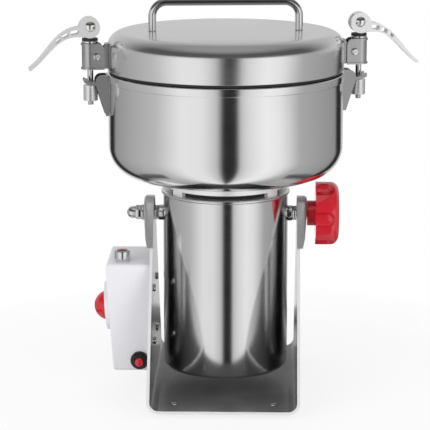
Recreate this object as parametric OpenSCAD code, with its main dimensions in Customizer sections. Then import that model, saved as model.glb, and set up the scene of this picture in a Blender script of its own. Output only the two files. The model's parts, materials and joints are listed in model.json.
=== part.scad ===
// Electric grain mill of the swing type. A bent sheet stand carries a motor barrel on two pivots, and a
// wide bowl with a lid sits on the barrel. Two swing clamps with cam levers hold the lid, and a lobed
// knob locks the tilt. Millimetres, +Z up. The origin lies on the floor, below the axis of the mill.

/* [Stand] */
// Thickness of the bent sheet
sheet_t = 3; // [2:0.5:4]
// Depth of the floor plate, front to back
base_d = 236; // [210:2:280]
// Outer radius of the two bends
bend_r = 12; // [8:1:16]
// Room between the barrel and each arm
arm_gap = 9.2; // [8:0.2:14]
// Room between the floor plate and the barrel
under_gap = 17; // [12:1:30]
// Radius of a rubber foot
foot_r = 7.5; // [6:0.5:10]
// Height of a rubber foot
foot_h = 4.5; // [3:0.5:8]
// Distance of each foot from the middle of the plate, left to right
foot_x = 50; // [40:1:60]
// Distance of each foot from the front and back edges
foot_inset = 23; // [14:1:40]

/* [Barrel and neck] */
// Outer radius of the motor barrel
barrel_r = 64.5; // [62:0.5:75]
// Height of the motor barrel
barrel_h = 186; // [180:1:210]
// Wall of the barrel
barrel_t = 1.5; // [1:0.25:2.5]
// Radius of the barrel's lower corner
barrel_corner_r = 10; // [5:1:14]
// How far the rolled bead stands out of the barrel
bead_out = 1.9; // [1:0.1:3]
// Outer radius of the neck ring under the bowl
neck_r = 61; // [58:0.5:64]
// Height of the neck ring
neck_h = 16; // [12:0.5:24]
// Wall of the neck ring
neck_t = 5; // [3:0.5:7]

/* [Bowl and lid] */
// Outer radius of the bowl
bowl_r = 120; // [112:1:140]
// Height of the bowl, from its floor to its rim
bowl_h = 106.2; // [90:1:130]
// Radius of the bowl's lower corner
bowl_corner_r = 31; // [20:1:40]
// Wall of the bowl
bowl_t = 2; // [1.5:0.25:3]
// Height of the band round the rim
rim_h = 8.2; // [6:0.2:12]
// How far the band stands out of the bowl
rim_out = 0.7; // [0.4:0.1:1.5]
// Height of the dark seam between the bowl and the lid
seam_h = 3; // [2:0.2:4]
// How far the lid stands out past the bowl's wall
lid_out = 0.5; // [0.2:0.1:1.5]
// Height of the lid
lid_h = 38.5; // [32:0.5:50]
// Radius of the lid's upper corner
lid_corner_r = 15.5; // [10:0.5:20]
// Wall of the lid
lid_t = 2; // [1.5:0.25:3]

/* [Handle] */
// Width of the handle over its legs
handle_w = 157; // [130:1:180]
// Height of the handle above the lid
handle_h = 33.5; // [28:0.5:45]
// Radius of the handle's rod
handle_rod_r = 4; // [3:0.25:5]
// Radius of the handle's bends, on the middle of the rod
handle_bend_r = 14.5; // [10:0.5:20]
// Turn of the handle about the axis of the mill, in degrees
handle_turn = 4.5; // [-15:0.5:15]

/* [Pivots] */
// Distance of the tilt axis below the top of the barrel
axis_drop = 25.5; // [22:0.5:40]
// Outer radius of a pivot block
block_r = 18; // [16:0.5:22]
// Thickness of a pivot block outside its arm
block_out = 7.3; // [5:0.1:10]
// Width of the block's lip round the arm
block_lip = 2.2; // [1.5:0.1:3]
// Reach of a pivot block below the axis
block_drop = 29; // [24:1:40]
// Radius of a pivot stud
stud_r = 4; // [3:0.25:5]
// Width over the flats of the pivot nuts
nut_af = 13; // [12:0.5:17]
// Thickness of the pads between the barrel and the nuts
pad_t = 4.8; // [3:0.1:6]

/* [Lock knob] */
// Radius of the knob over its lobes
knob_r = 32.5; // [26:0.5:36]
// Length of the knob's lobed head
knob_head_l = 24; // [18:0.5:30]
// Radius of the knob's hub
knob_hub_r = 13; // [11:0.5:15]
// Length of the knob's hub
knob_hub_l = 8.5; // [6:0.5:14]
// Radius of the finger recesses
knob_recess_r = 8.5; // [6:0.5:9]
// Number of finger recesses
knob_recesses = 6; // [5:1:7]

/* [Control box] */
// Width of the control box at its top
box_top_w = 45.6; // [40:0.5:55]
// Width of the control box at its foot
box_foot_w = 38; // [34:0.5:45]
// Height of the control box
box_h = 113; // [105:1:125]
// Depth of the control box, front to back
box_d = 84; // [80:1:86]
// Distance of the box's top below the tilt axis
box_drop = 46; // [44:1:50]
// Radius of the box's edges
box_corner_r = 4; // [2:0.5:6]
// Radius of the round boss of the power switch
boss_r = 25.4; // [22:0.2:30]
// Height of the round boss
boss_h = 4.7; // [3:0.1:7]
// Radius of the red power button
power_r = 15.5; // [12:0.25:18]
// How far the power button stands out of its boss
power_out = 7; // [4:0.25:10]
// Radius of the pilot light's bezel
pilot_r = 8.25; // [6:0.25:10]
// Height of the pilot light
pilot_h = 7.5; // [5:0.5:10]
// Radius of the breaker's ring
breaker_r = 9.4; // [8:0.2:11]
// How far the breaker's button stands out of the box
breaker_out = 11; // [8:0.5:14]
// Radius of the cable gland's bore
gland_bore_r = 4; // [3:0.25:5]

/* [Clamps] */
// Turn of the clamps about the axis of the mill, in degrees
clamp_turn = 10; // [0:0.5:20]
// Distance of the clamp rod outside the bowl's wall
rod_out = 18.3; // [17:0.1:24]
// Radius of the clamp rod
rod_r = 3; // [2.5:0.25:3.5]
// Height of the swing box
cbox_h = 26.3; // [24:0.1:30]
// Height of the swing box's foot above the bowl's rim
cbox_lift = 5.35; // [4:0.1:8]
// Half width of the swing box
cbox_half = 8.3; // [8:0.1:9.5]
// Wall of the swing box
cbox_t = 2; // [1.5:0.1:2.2]
// Distance of the swing screw inside the rod
swing_in = 6; // [5.5:0.1:7.5]
// Radius of the swing screw
screw_r = 2; // [1.5:0.1:2.2]
// Thickness of an ear cheek
ear_t = 2; // [1.5:0.1:2.2]
// Reach of the fork plate below the swing screw
fork_reach = 28.9; // [27:0.1:34]
// Thickness of the fork plate
fork_t = 3; // [2.5:0.1:4]
// Reach of the fork's lip outside the rod
fork_lip = 7; // [6:0.1:9]
// Radius of the adjusting nut
grip_r = 7.2; // [6:0.1:7.4]
// Height of the adjusting nut
grip_h = 15.8; // [12:0.1:18]
// Length of the rod below the nut
rod_tail = 4.4; // [3:0.1:8]

/* [Cam levers] */
// Radius of the round cam head
cam_r = 10.5; // [9:0.25:12]
// Offset of the cam head from its pin
cam_e = 1.25; // [0.8:0.05:1.4]
// Turn of the offset from straight down when the lever is closed, in degrees
cam_phase = 30; // [20:1:40]
// Width of the lever
lever_w = 15; // [13:0.5:16]
// Reach of the lever from its head
lever_l = 60; // [50:1:75]
// Radius of the cam pin's domed heads
pin_head_r = 5.3; // [4:0.1:6]

/* [Motor] */
// Radius of the shaft
shaft_r = 6; // [5:0.5:8]
// Outer radius of the ball bearings
bearing_r = 16; // [14:0.5:20]
// Width of the ball bearings
bearing_w = 10; // [8:0.5:12]
// Radius of the armature
armature_r = 30; // [24:1:34]
// Air gap between the armature and the stator
air_gap = 0.8; // [0.5:0.1:1.5]
// Room between the commutator and the upper bearing
commutator_gap = 26.5; // [20:0.5:30]
// Radius of the cooling fan
fan_r = 52; // [45:1:56]
// Number of fan blades
fan_blades = 11; // [7:1:15]
// Radius of the commutator
commutator_r = 16; // [12:0.5:20]
// Length of the commutator
commutator_l = 18; // [14:1:22]

/* [Blades] */
// Reach of a blade from the shaft
blade_l = 98; // [80:1:102]
// Width of a blade
blade_w = 22; // [16:1:28]
// Thickness of a blade
blade_t = 2.5; // [2:0.25:4]
// Height of the spacers between the blades
spacer_h = 9; // [6:0.5:14]
// Turn from each blade to the next, in degrees
blade_turn = 60; // [30:5:90]

/* [Hidden] */
$fn = 64;

// Fits and overruns
cut = 1;                 // overrun of every cut
run = 0.06;              // radial clearance of a running fit
seat = 0.05;             // clearance of a fixed seat
apart = 0.3;             // room between pieces that move past each other

// Screws
m4_r = 2;
m4_head_r = 4;
m4_head_h = 2.2;

// Heights, from the floor up
plate_z = foot_h;
plate_top = plate_z + sheet_t;
slope_z = plate_z + bend_r;
barrel_z = plate_top + under_gap;
barrel_top = barrel_z + barrel_h;
axis_z = barrel_top - axis_drop;
bowl_z = barrel_top + neck_h;
bowl_floor = bowl_z + bowl_t;
rim_z = bowl_z + bowl_h;
lid_z = rim_z + seam_h;
lid_top = lid_z + lid_h;

// Stand
arm_in = barrel_r + arm_gap;
arm_out = arm_in + sheet_t;
block_face = arm_out + block_out;
arm_r = block_r - block_lip;
foot_edge_r = foot_h * 0.6;
foot_y = base_d / 2 - foot_inset;
block_chamfer = block_out * 0.6;
slope_corner = [base_d / 2, slope_z - axis_z];
slope_angle = atan2(slope_corner.y, slope_corner.x) + acos(arm_r / norm(slope_corner));
slope_dir = slope_corner - arm_r * [cos(slope_angle), sin(slope_angle)];

// Pivot hardware
nut_r = nut_af / 2 / cos(30);
nut_t = nut_af * 0.45;
inner_nut_t = arm_gap - pad_t - apart;
washer_r = nut_af * 0.62;
washer_t = stud_r * 0.7;
stud_head_r = stud_r * 2;
stud_head_t = stud_r * 0.75;
dome_r = nut_af * 0.48;
dome_h = nut_af * 0.72;
washer_x = block_face + apart;
acorn_x = washer_x + washer_t;
acorn_l = nut_t + dome_h;
knob_x = block_face + apart;
insert_r = stud_r * 1.9;
insert_l = knob_hub_l + knob_head_l * 0.55;

// Control box
box_z = axis_z - box_drop - box_h;
box_top = box_z + box_h;
box_lean = atan((box_top_w - box_foot_w) / box_h);
power_z = box_z + box_h * 0.526;
pilot_x = -(arm_out + box_top_w * 0.64);
pilot_y = -box_d * 0.275;
lens_r = pilot_r * 0.62;
breaker_x = -(arm_out + breaker_r * 1.18);
breaker_z = box_z + breaker_r * 1.25;
breaker_button_r = breaker_r * 0.46;
breaker_ring_h = breaker_r * 0.34;
switch_depth = power_r;
skirt_r = power_r * 1.08;
skirt_t = power_r * 0.13;
gland_x = -(arm_out + box_foot_w / 2);
gland_z = box_z + gland_bore_r * 4;
gland_r = gland_bore_r * 2;
gland_l = gland_bore_r * 3;
box_screw_y = box_d * 0.3;
box_screw_z = [box_z + box_h * 0.25, box_z + box_h * 0.75];
box_screw_l = m4_r * 5;

// Motor
barrel_in = barrel_r - barrel_t;
bead_r = bead_out * 0.8;
vent_r = barrel_in - barrel_corner_r;
vent_hole_r = vent_r - m4_head_r * 2;
shield_t = bearing_w * 0.6;
housing_r = bearing_r + barrel_t * 2;
fan_z = barrel_z + barrel_t * 5;
fan_h = bearing_w * 1.3;
lower_shield_z = fan_z + fan_h + barrel_t * 2;
winding_h = bearing_w * 1.2;
stator_z = lower_shield_z + bearing_w + barrel_t + winding_h;
stator_r = barrel_in - seat;
bore_r = armature_r + air_gap;
winding_r = stator_r * 0.87;
upper_shield_z = barrel_top - shield_t;
upper_bearing_z = upper_shield_z - bearing_w * 1.2;
commutator_z = upper_bearing_z - commutator_gap - commutator_l;
stator_l = commutator_z - barrel_t * 3 - winding_h - stator_z;
brush_z = commutator_z + commutator_l / 2;
brush_w = commutator_l * 0.45;
brush_l = commutator_r * 0.9;
holder_t = barrel_t;
holder_end = barrel_in - seat;
shaft_z = fan_z - barrel_t;
blade_z = bowl_floor + shield_t * 1.6;
blade_top = blade_z + 3 * blade_t + 2 * spacer_h;
blade_edge_t = blade_t * 0.2;
blade_nut_h = shaft_r * 1.6;
spacer_r = shaft_r * 1.8;
seal_r = spacer_r * 1.25;
seal_flange_t = shield_t * 0.5;
mill_screw_ring = neck_r - neck_t - m4_head_r;
vent_screw_ring = (vent_r + vent_hole_r) / 2;

// Rim, lid and gasket
rim_r = bowl_r + rim_out;
lid_r = bowl_r + lid_out;
rim_in = bowl_r - bowl_t;
gasket_out = lid_r - lid_t;
gasket_in = gasket_out - lid_t * 3;

// Clamps, in the frame of one clamp: x outward from the axis of the mill, y along the rim
rod_x = bowl_r + rod_out;
swing_x = rod_x - swing_in;
cbox_z = rim_z + cbox_lift;
cbox_top = cbox_z + cbox_h;
swing_z = cbox_z + cbox_h / 2;
cbox_back = cbox_half * 1.67;
cbox_lip = cbox_t / 2;
cap_t = cbox_t * 1.2;
cbox_corner_r = cbox_h * 0.27;
cap_back = rod_r * 1.75;
ear_out = cbox_half - cbox_t - apart;
ear_in = ear_out - ear_t;
ear_nose_r = screw_r * 2.9;
ear_half_h = cbox_h * 0.48;
ear_x = lid_r - lid_t / 2;
washer_out_r = cbox_half;
ring_t = [cbox_t * 1.3, cbox_t * 1.25];
cam_z = cbox_top + ring_t[0] + ring_t[1] + apart + cam_r;
pin_z = cam_z + cam_e * cos(cam_phase);
pin_r = rod_r * 0.85;
eye_r = rod_r * 1.75;
eye_w = rod_r * 2.1;
grip_top = swing_z - fork_reach - apart;
grip_collar_h = grip_h * 0.17;
rod_foot = grip_top - grip_h - rod_tail;
fork_half = grip_r * 1.35;
cheek_t = cbox_t;
cheek_in = grip_r + apart * 2.5;
bracket_t = bowl_t;
bracket_x = rim_r;
bracket_foot = rim_z - fork_half * 4.3;
horn_r = grip_r * 0.9;

function arc(c, r, a, b, n = 8) = [
    for (i = [0:n]) let (t = a + (b - a) * i / n) c + r * [cos(t), sin(t)]
];

// One corner of an outline, rounded with radius r
function turn(d) = d > 180 ? d - 360 : d < -180 ? d + 360 : d;
function corner(a, b, c, r) = r == 0 ? [b] : let (
    u = (a - b) / norm(a - b),
    w = (c - b) / norm(c - b),
    half = acos(u * w) / 2,
    m = b + (u + w) / norm(u + w) * r / sin(half),
    p = b + u * r / tan(half) - m,
    q = b + w * r / tan(half) - m,
    start = atan2(p.y, p.x)
) arc(m, r, start, start + turn(atan2(q.y, q.x) - start), 6);
function rounded(p, r) = let (n = len(p)) [
    for (i = [0:n - 1]) each corner(p[(i + n - 1) % n], p[i], p[(i + 1) % n], r[i])
];

// Point on a cubic curve through four control points, and its direction
function curve(p, t) = let (u = 1 - t)
    u * u * u * p[0] + 3 * u * u * t * p[1] + 3 * u * t * t * p[2] + t * t * t * p[3];
function heading(p, t) = let (
    u = 1 - t,
    d = u * u * (p[1] - p[0]) + 2 * u * t * (p[2] - p[1]) + t * t * (p[3] - p[2])
) d / norm(d);

module along_x() { rotate([0, 90, 0]) children(); }
module along_y() { rotate([-90, 0, 0]) children(); }

// An outline in the y-z plane, run along x, and one in the x-z plane, run along y
module run_x(x0, length) { translate([x0, 0, 0]) rotate([90, 0, 90]) linear_extrude(length) children(); }
module run_y(y0, length) {
    translate([0, y0 + length, 0]) rotate([90, 0, 0]) linear_extrude(length) children();
}

// Rectangle about x = 0 with two round lower corners
module cup_outline(half, h, r) {
    translate([-half, r]) square([2 * half, h - r]);
    translate([r - half, 0]) square([2 * (half - r), h]);
    for (s = [-1, 1]) translate([s * (half - r), r]) circle(r);
}

// Half of that rectangle, as the profile of a turned cup
module cup_profile(radius, h, r) {
    intersection() {
        cup_outline(radius, h, r);
        square([radius, h]);
    }
}

module ring(outer, inner, h) {
    difference() {
        cylinder(r = outer, h = h);
        translate([0, 0, -cut]) cylinder(r = inner, h = h + 2 * cut);
    }
}

module hex_nut(across, inner, h) {
    difference() {
        cylinder(r = across / 2 / cos(30), h = h, $fn = 6);
        translate([0, 0, -cut]) cylinder(r = inner, h = h + 2 * cut);
    }
}

module pan_screw(length) {
    translate([0, 0, -length]) cylinder(r = m4_r, h = length + m4_head_h / 2);
    cylinder(r = m4_head_r, h = m4_head_h * 0.6);
    translate([0, 0, m4_head_h * 0.6]) cylinder(r1 = m4_head_r, r2 = m4_head_r * 0.6, h = m4_head_h * 0.4);
}

// Side view of an arm: sides that run tangent to the round top of radius r, down to height low
module arm_outline(r, low) {
    top = (r - apart / 10) * [cos(slope_angle), sin(slope_angle)];
    foot = top + slope_dir * (top.y + axis_z - low) / -slope_dir.y;
    translate([0, axis_z]) {
        circle(r);
        polygon([[-top.x, top.y], [-foot.x, foot.y], foot, top]);
    }
}

module stand_outline() {
    arm_outline(arm_r, slope_z);
    translate([-base_d / 2, plate_z]) square([base_d, slope_z - plate_z]);
}

module at_feet() {
    for (x = [-foot_x, foot_x], y = [-foot_y, foot_y]) translate([x, y, 0]) children();
}

module at_box_screws() {
    for (y = [-box_screw_y, box_screw_y], z = box_screw_z) translate([-arm_in, y, z]) along_x() children();
}

module base_frame() {
    color("lightgray") difference() {
        intersection() {
            run_y(-base_d / 2, base_d) translate([0, plate_z]) difference() {
                cup_outline(arm_out, axis_z, bend_r);
                translate([0, sheet_t]) cup_outline(arm_in, axis_z, bend_r - sheet_t);
            }
            run_x(-arm_out, 2 * arm_out) stand_outline();
        }
        translate([-arm_out - cut, 0, axis_z]) along_x() cylinder(r = stud_r + run, h = 2 * (arm_out + cut));
        at_feet() cylinder(r = m4_r + seat, h = plate_top + cut);
        at_box_screws() translate([0, 0, -sheet_t - cut]) cylinder(r = m4_r + seat, h = sheet_t + 2 * cut);
    }
}

// Cast cap that straddles the top of one arm
module pivot_block() {
    foot_z = axis_z - block_drop;
    difference() {
        run_x(arm_in, sheet_t + block_out) arm_outline(block_r, foot_z);
        run_x(arm_in - cut, sheet_t + cut) arm_outline(arm_r + seat, foot_z - cut);
        run_y(-block_r * 3, block_r * 6) polygon([
            [block_face - block_chamfer - cut / 2, foot_z - cut],
            [block_face + cut, foot_z - cut],
            [block_face + cut, foot_z + (block_chamfer + cut) * 2]
        ]);
        translate([arm_in - cut, 0, axis_z]) along_x()
            cylinder(r = stud_r + run, h = sheet_t + block_out + 2 * cut);
    }
}

module pivot_block_left() { color("silver") mirror([1, 0, 0]) pivot_block(); }
module pivot_block_right() { color("silver") pivot_block(); }

module rubber_feet() {
    color("#202020") at_feet() difference() {
        rotate_extrude() cup_profile(foot_r, foot_h, foot_edge_r);
        translate([0, 0, foot_h * 0.3]) cylinder(r = m4_r + seat, h = foot_h);
    }
}

module base_screws() {
    color("gray") {
        at_feet() translate([0, 0, plate_top]) pan_screw(sheet_t + foot_h * 0.6);
        at_box_screws() pan_screw(sheet_t + box_screw_l);
    }
}

// Carries its children to the middle of the power switch, z along its axis
module on_power_face() {
    x = arm_out + box_foot_w + (box_top_w - box_foot_w) * (power_z - box_z) / box_h;
    translate([-x, 0, power_z]) rotate([0, -90 - box_lean, 0]) children();
}

module on_breaker_face() { translate([breaker_x, -box_d / 2, breaker_z]) rotate([90, 0, 0]) children(); }
module on_gland_face() { translate([gland_x, box_d / 2, gland_z]) along_y() children(); }

module control_box() {
    outer_foot = -(arm_out + box_foot_w);
    outer_top = -(arm_out + box_top_w);
    edge = box_corner_r;
    color("#d8d8d6") difference() {
        intersection() {
            run_y(-box_d / 2, box_d) polygon(rounded(
                [[-arm_out, box_z], [-arm_out, box_top], [outer_top, box_top], [outer_foot, box_z]],
                [0, 0, edge, edge]
            ));
            run_x(outer_top, box_top_w) polygon(rounded(
                [[-box_d / 2, box_z], [-box_d / 2, box_top], [box_d / 2, box_top], [box_d / 2, box_z]],
                [edge, edge, edge, edge]
            ));
        }
        on_power_face() translate([0, 0, -switch_depth])
            cylinder(r = skirt_r + apart, h = switch_depth + cut);
        translate([pilot_x, pilot_y, box_top - pilot_h]) cylinder(r = lens_r, h = pilot_h + cut);
        on_breaker_face() translate([0, 0, -switch_depth])
            cylinder(r = breaker_button_r + apart, h = switch_depth + cut);
        on_gland_face() translate([0, 0, -gland_l]) cylinder(r = gland_bore_r, h = gland_l + cut);
        at_box_screws() translate([0, 0, -sheet_t - box_screw_l - cut])
            cylinder(r = m4_r + seat, h = box_screw_l + 2 * cut);
    }
}

module button_boss() {
    bevel = boss_h * 0.25;
    color("silver") on_power_face() difference() {
        union() {
            cylinder(r = boss_r, h = boss_h - bevel);
            translate([0, 0, boss_h - bevel]) cylinder(r1 = boss_r, r2 = boss_r - bevel, h = bevel);
        }
        translate([0, 0, -cut]) cylinder(r = power_r + apart, h = boss_h + 2 * cut);
    }
}

module power_button() {
    ball_r = (power_r * power_r + power_out * power_out) / (2 * power_out);
    color("#c01818") on_power_face() {
        translate([0, 0, -skirt_t * 2]) cylinder(r = power_r, h = boss_h + skirt_t * 2);
        translate([0, 0, -skirt_t * 2]) cylinder(r = skirt_r, h = skirt_t);
        intersection() {
            translate([0, 0, boss_h + power_out - ball_r]) sphere(r = ball_r, $fn = 96);
            translate([0, 0, boss_h - skirt_t]) cylinder(r = power_r, h = power_out + skirt_t + cut);
        }
    }
}

module pilot_bezel() {
    bevel = pilot_h * 0.2;
    color("gainsboro") translate([pilot_x, pilot_y, box_top]) difference() {
        union() {
            cylinder(r = pilot_r, h = pilot_h - bevel);
            translate([0, 0, pilot_h - bevel]) cylinder(r1 = pilot_r, r2 = pilot_r - bevel, h = bevel);
        }
        translate([0, 0, -cut]) cylinder(r = lens_r, h = pilot_h + 2 * cut);
    }
}

module pilot_lens() {
    color("#801010") translate([pilot_x, pilot_y, box_top - pilot_h]) {
        cylinder(r = lens_r - seat, h = 2 * pilot_h);
        translate([0, 0, 2 * pilot_h]) cylinder(r1 = lens_r - seat, r2 = lens_r * 0.7, h = pilot_h * 0.15);
    }
}

module breaker_ring() {
    color("#181818") on_breaker_face() difference() {
        union() {
            cylinder(r = breaker_r, h = breaker_ring_h);
            cylinder(r = breaker_r * 0.72, h = breaker_ring_h * 2);
        }
        translate([0, 0, -cut]) cylinder(r = breaker_button_r + apart, h = breaker_ring_h * 2 + 2 * cut);
    }
}

module breaker_button() {
    edge = breaker_button_r * 0.3;
    color("#c01818") on_breaker_face() translate([0, 0, breaker_out]) mirror([0, 0, 1])
        rotate_extrude() cup_profile(breaker_button_r, breaker_out + switch_depth / 2, edge);
}

module cable_gland() {
    color("#202020") on_gland_face() difference() {
        union() {
            cylinder(r = gland_r / cos(30), h = gland_l * 0.35, $fn = 6);
            cylinder(r = gland_r * 0.85, h = gland_l * 0.7);
            translate([0, 0, gland_l * 0.7])
                cylinder(r1 = gland_r * 0.85, r2 = gland_r * 0.65, h = gland_l * 0.3);
        }
        translate([0, 0, -cut]) cylinder(r = gland_bore_r, h = gland_l + 2 * cut);
    }
}

module at_bowl_screws() {
    for (i = [0:3]) rotate([0, 0, 45 + 90 * i]) translate([mill_screw_ring, 0, 0]) children();
}

module at_vent_screws() {
    for (i = [0:2]) rotate([0, 0, 30 + 120 * i]) translate([vent_screw_ring, 0, 0]) children();
}

module motor_barrel() {
    wall_in = barrel_corner_r - barrel_t;
    color("silver") difference() {
        translate([0, 0, barrel_z]) rotate_extrude() {
            difference() {
                cup_profile(barrel_r, barrel_h, barrel_corner_r);
                translate([0, barrel_t]) cup_profile(barrel_in, barrel_h, wall_in);
                translate([-cut, -cut]) square([vent_hole_r + cut, barrel_h]);
            }
            translate([barrel_r + bead_out - bead_r, barrel_h - bead_r]) circle(bead_r);
        }
        translate([-barrel_r - cut, 0, axis_z]) along_x()
            cylinder(r = stud_r + seat, h = 2 * (barrel_r + cut));
        at_vent_screws() translate([0, 0, barrel_z - cut]) cylinder(r = m4_r + seat, h = barrel_t + 2 * cut);
    }
}

module vent_cover() {
    color("gray") difference() {
        translate([0, 0, barrel_z + barrel_t]) cylinder(r = vent_r, h = barrel_t);
        for (i = [0:15], s = [0, 1]) rotate([0, 0, 22.5 * i + 11.25 * s])
            translate([vent_hole_r * (s == 0 ? 0.42 : 0.8), 0, barrel_z])
                cylinder(r = vent_hole_r * (s == 0 ? 0.05 : 0.09), h = barrel_t * 3);
        at_vent_screws() translate([0, 0, barrel_z]) cylinder(r = m4_r + seat, h = barrel_t * 3);
    }
}

module mill_screws() {
    color("gray") {
        at_bowl_screws() translate([0, 0, bowl_floor]) pan_screw(bowl_t + neck_h + shield_t * 0.7);
        at_vent_screws() translate([0, 0, barrel_z]) mirror([0, 0, 1]) pan_screw(barrel_t * 2);
    }
}

// End shield with a bearing housing and windows between its spokes
module shield(z, housing_z, housing_h) {
    difference() {
        union() {
            translate([0, 0, z]) cylinder(r = barrel_in - seat, h = shield_t);
            translate([0, 0, housing_z]) cylinder(r = housing_r, h = housing_h);
        }
        children();
    }
}

module upper_shield() {
    color("#a8a8a8") shield(upper_shield_z, upper_bearing_z, barrel_top - upper_bearing_z) {
        translate([0, 0, upper_bearing_z - cut]) cylinder(r = shaft_r + apart * 2, h = barrel_h);
        translate([0, 0, upper_bearing_z - cut]) cylinder(r = bearing_r + seat, h = bearing_w + cut);
        at_bowl_screws() translate([0, 0, barrel_top - shield_t * 0.8])
            cylinder(r = m4_r + seat, h = shield_t);
    }
}

module lower_shield() {
    color("#a8a8a8") shield(lower_shield_z, lower_shield_z, bearing_w + barrel_t) {
        translate([0, 0, lower_shield_z - cut]) cylinder(r = shaft_r + apart * 2, h = barrel_h);
        translate([0, 0, lower_shield_z + barrel_t]) cylinder(r = bearing_r + seat, h = barrel_h);
        for (i = [0:5]) rotate([0, 0, 60 * i])
            translate([(housing_r + barrel_in) / 2, 0, lower_shield_z - cut])
            cylinder(r = (barrel_in - housing_r) * 0.32, h = shield_t + 2 * cut);
    }
}

module bearings() {
    color("lightsteelblue") for (z = [upper_bearing_z, lower_shield_z + barrel_t])
        translate([0, 0, z]) ring(bearing_r, shaft_r + run, bearing_w);
}

module stator() {
    color("#707478") difference() {
        translate([0, 0, stator_z]) cylinder(r = stator_r, h = stator_l);
        translate([0, 0, stator_z - cut]) cylinder(r = bore_r, h = stator_l + 2 * cut);
        for (a = [0, 180]) rotate([0, 0, a]) translate([-bore_r * 0.5, bore_r * 0.8, stator_z - cut])
            cube([bore_r, bore_r * 0.5, stator_l + 2 * cut]);
    }
}

module field_windings() {
    color("#b4622c") for (z = [stator_z - winding_h, stator_z + stator_l]) translate([0, 0, z]) difference() {
        cylinder(r = winding_r, h = winding_h);
        translate([0, 0, -cut]) cylinder(r = bore_r * 1.08, h = winding_h + 2 * cut);
        translate([-bore_r * 0.45, -winding_r - cut, -cut])
            cube([bore_r * 0.9, 2 * (winding_r + cut), winding_h + 2 * cut]);
    }
}

module at_brushes() {
    for (a = [90, 270]) rotate([0, 0, a]) translate([0, 0, brush_z]) children();
}

module brush_holders() {
    start = commutator_r + brush_l * 0.35;
    color("#c8a850") at_brushes() difference() {
        translate([start, -brush_w / 2 - holder_t, -brush_w / 2 - holder_t])
            cube([holder_end - start - barrel_t, brush_w + 2 * holder_t, brush_w + 2 * holder_t]);
        translate([start - cut, -brush_w / 2, -brush_w / 2])
            cube([holder_end - start - 2 * barrel_t + cut, brush_w, brush_w]);
    }
    color("#c8a850") at_brushes() translate([holder_end - 2 * barrel_t, -brush_w, -brush_w]) intersection() {
        cube([2 * barrel_t, 2 * brush_w, 2 * brush_w]);
        translate([2 * barrel_t - holder_end, brush_w, 0]) cylinder(r = holder_end, h = 2 * brush_w);
    }
}

module brushes() {
    color("#303030") at_brushes() difference() {
        translate([0, seat - brush_w / 2, seat - brush_w / 2])
            cube([commutator_r + brush_l, brush_w - 2 * seat, brush_w - 2 * seat]);
        translate([0, 0, -brush_w]) cylinder(r = commutator_r + run, h = 2 * brush_w);
    }
}

// Each spring is a strip folded in a zigzag, between its brush and the end of its holder
module brush_springs() {
    from = commutator_r + brush_l;
    to = holder_end - 2 * barrel_t;
    folds = 8;
    strip = barrel_t / 2;
    pitch = (to - from) / folds;
    reach = brush_w * 0.3;
    function side(i) = i % 2 == 0 ? -reach : reach;
    color("silver") at_brushes() translate([from, 0, -brush_w / 4]) linear_extrude(brush_w / 2) polygon([
        for (i = [0:folds]) [i * pitch, side(i) - strip],
        for (i = [folds:-1:0]) [i * pitch, side(i) + strip]
    ]);
}

module neck_ring() {
    color("whitesmoke") translate([0, 0, barrel_top]) difference() {
        union() {
            ring(neck_r, neck_r - neck_t, neck_h);
            intersection() {
                at_bowl_screws() cylinder(r = m4_head_r * 1.6, h = neck_h);
                cylinder(r = neck_r - neck_t / 2, h = neck_h);
            }
        }
        at_bowl_screws() translate([0, 0, -cut]) cylinder(r = m4_r + seat, h = neck_h + 2 * cut);
    }
}

module bowl() {
    edge = rim_h * 0.12;
    color("silver") difference() {
        translate([0, 0, bowl_z]) rotate_extrude() difference() {
            union() {
                cup_profile(bowl_r, bowl_h, bowl_corner_r);
                translate([0, bowl_h - rim_h + edge]) square([rim_r, rim_h - 2 * edge]);
                translate([0, bowl_h - rim_h]) square([rim_r - edge / 2, rim_h]);
            }
            translate([0, bowl_t]) cup_profile(rim_in, bowl_h, bowl_corner_r - bowl_t);
        }
        translate([0, 0, bowl_z - cut]) cylinder(r = seal_r + seat, h = bowl_t + 2 * cut);
        at_bowl_screws() translate([0, 0, bowl_z - cut]) cylinder(r = m4_r + seat, h = bowl_t + 2 * cut);
    }
}

module seal_housing() {
    color("gainsboro") translate([0, 0, barrel_top]) difference() {
        union() {
            cylinder(r = seal_r, h = bowl_floor - barrel_top);
            translate([0, 0, bowl_floor - barrel_top]) cylinder(r = seal_r * 1.3, h = seal_flange_t);
        }
        translate([0, 0, -cut]) cylinder(r = shaft_r + apart, h = neck_h * 3);
        translate([0, 0, neck_h * 0.5]) cylinder(r = seal_r * 0.75, h = neck_h * 3);
    }
}

module shaft_seal() {
    color("#303030") translate([0, 0, barrel_top + neck_h * 0.5])
        ring(seal_r * 0.75 - seat, shaft_r + run, bowl_floor + seal_flange_t - barrel_top - neck_h * 0.5);
}

// Both pivots: the right one as drawn, the left one by its mirror image
module both_sides() {
    children();
    mirror([1, 0, 0]) children();
}

module on_axis(x) { translate([x, 0, axis_z]) along_x() children(); }

module pivot_studs() {
    head_x = barrel_in - stud_head_t - stud_head_r * stud_head_r / barrel_in;
    color("gray") {
        both_sides() on_axis(head_x) cylinder(r = stud_head_r, h = stud_head_t);
        on_axis(head_x) cylinder(r = stud_r, h = knob_x + insert_l * 0.8 - head_x);
        mirror([1, 0, 0]) on_axis(head_x) cylinder(r = stud_r, h = acorn_x + nut_t * 1.5 - head_x);
    }
}

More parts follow.
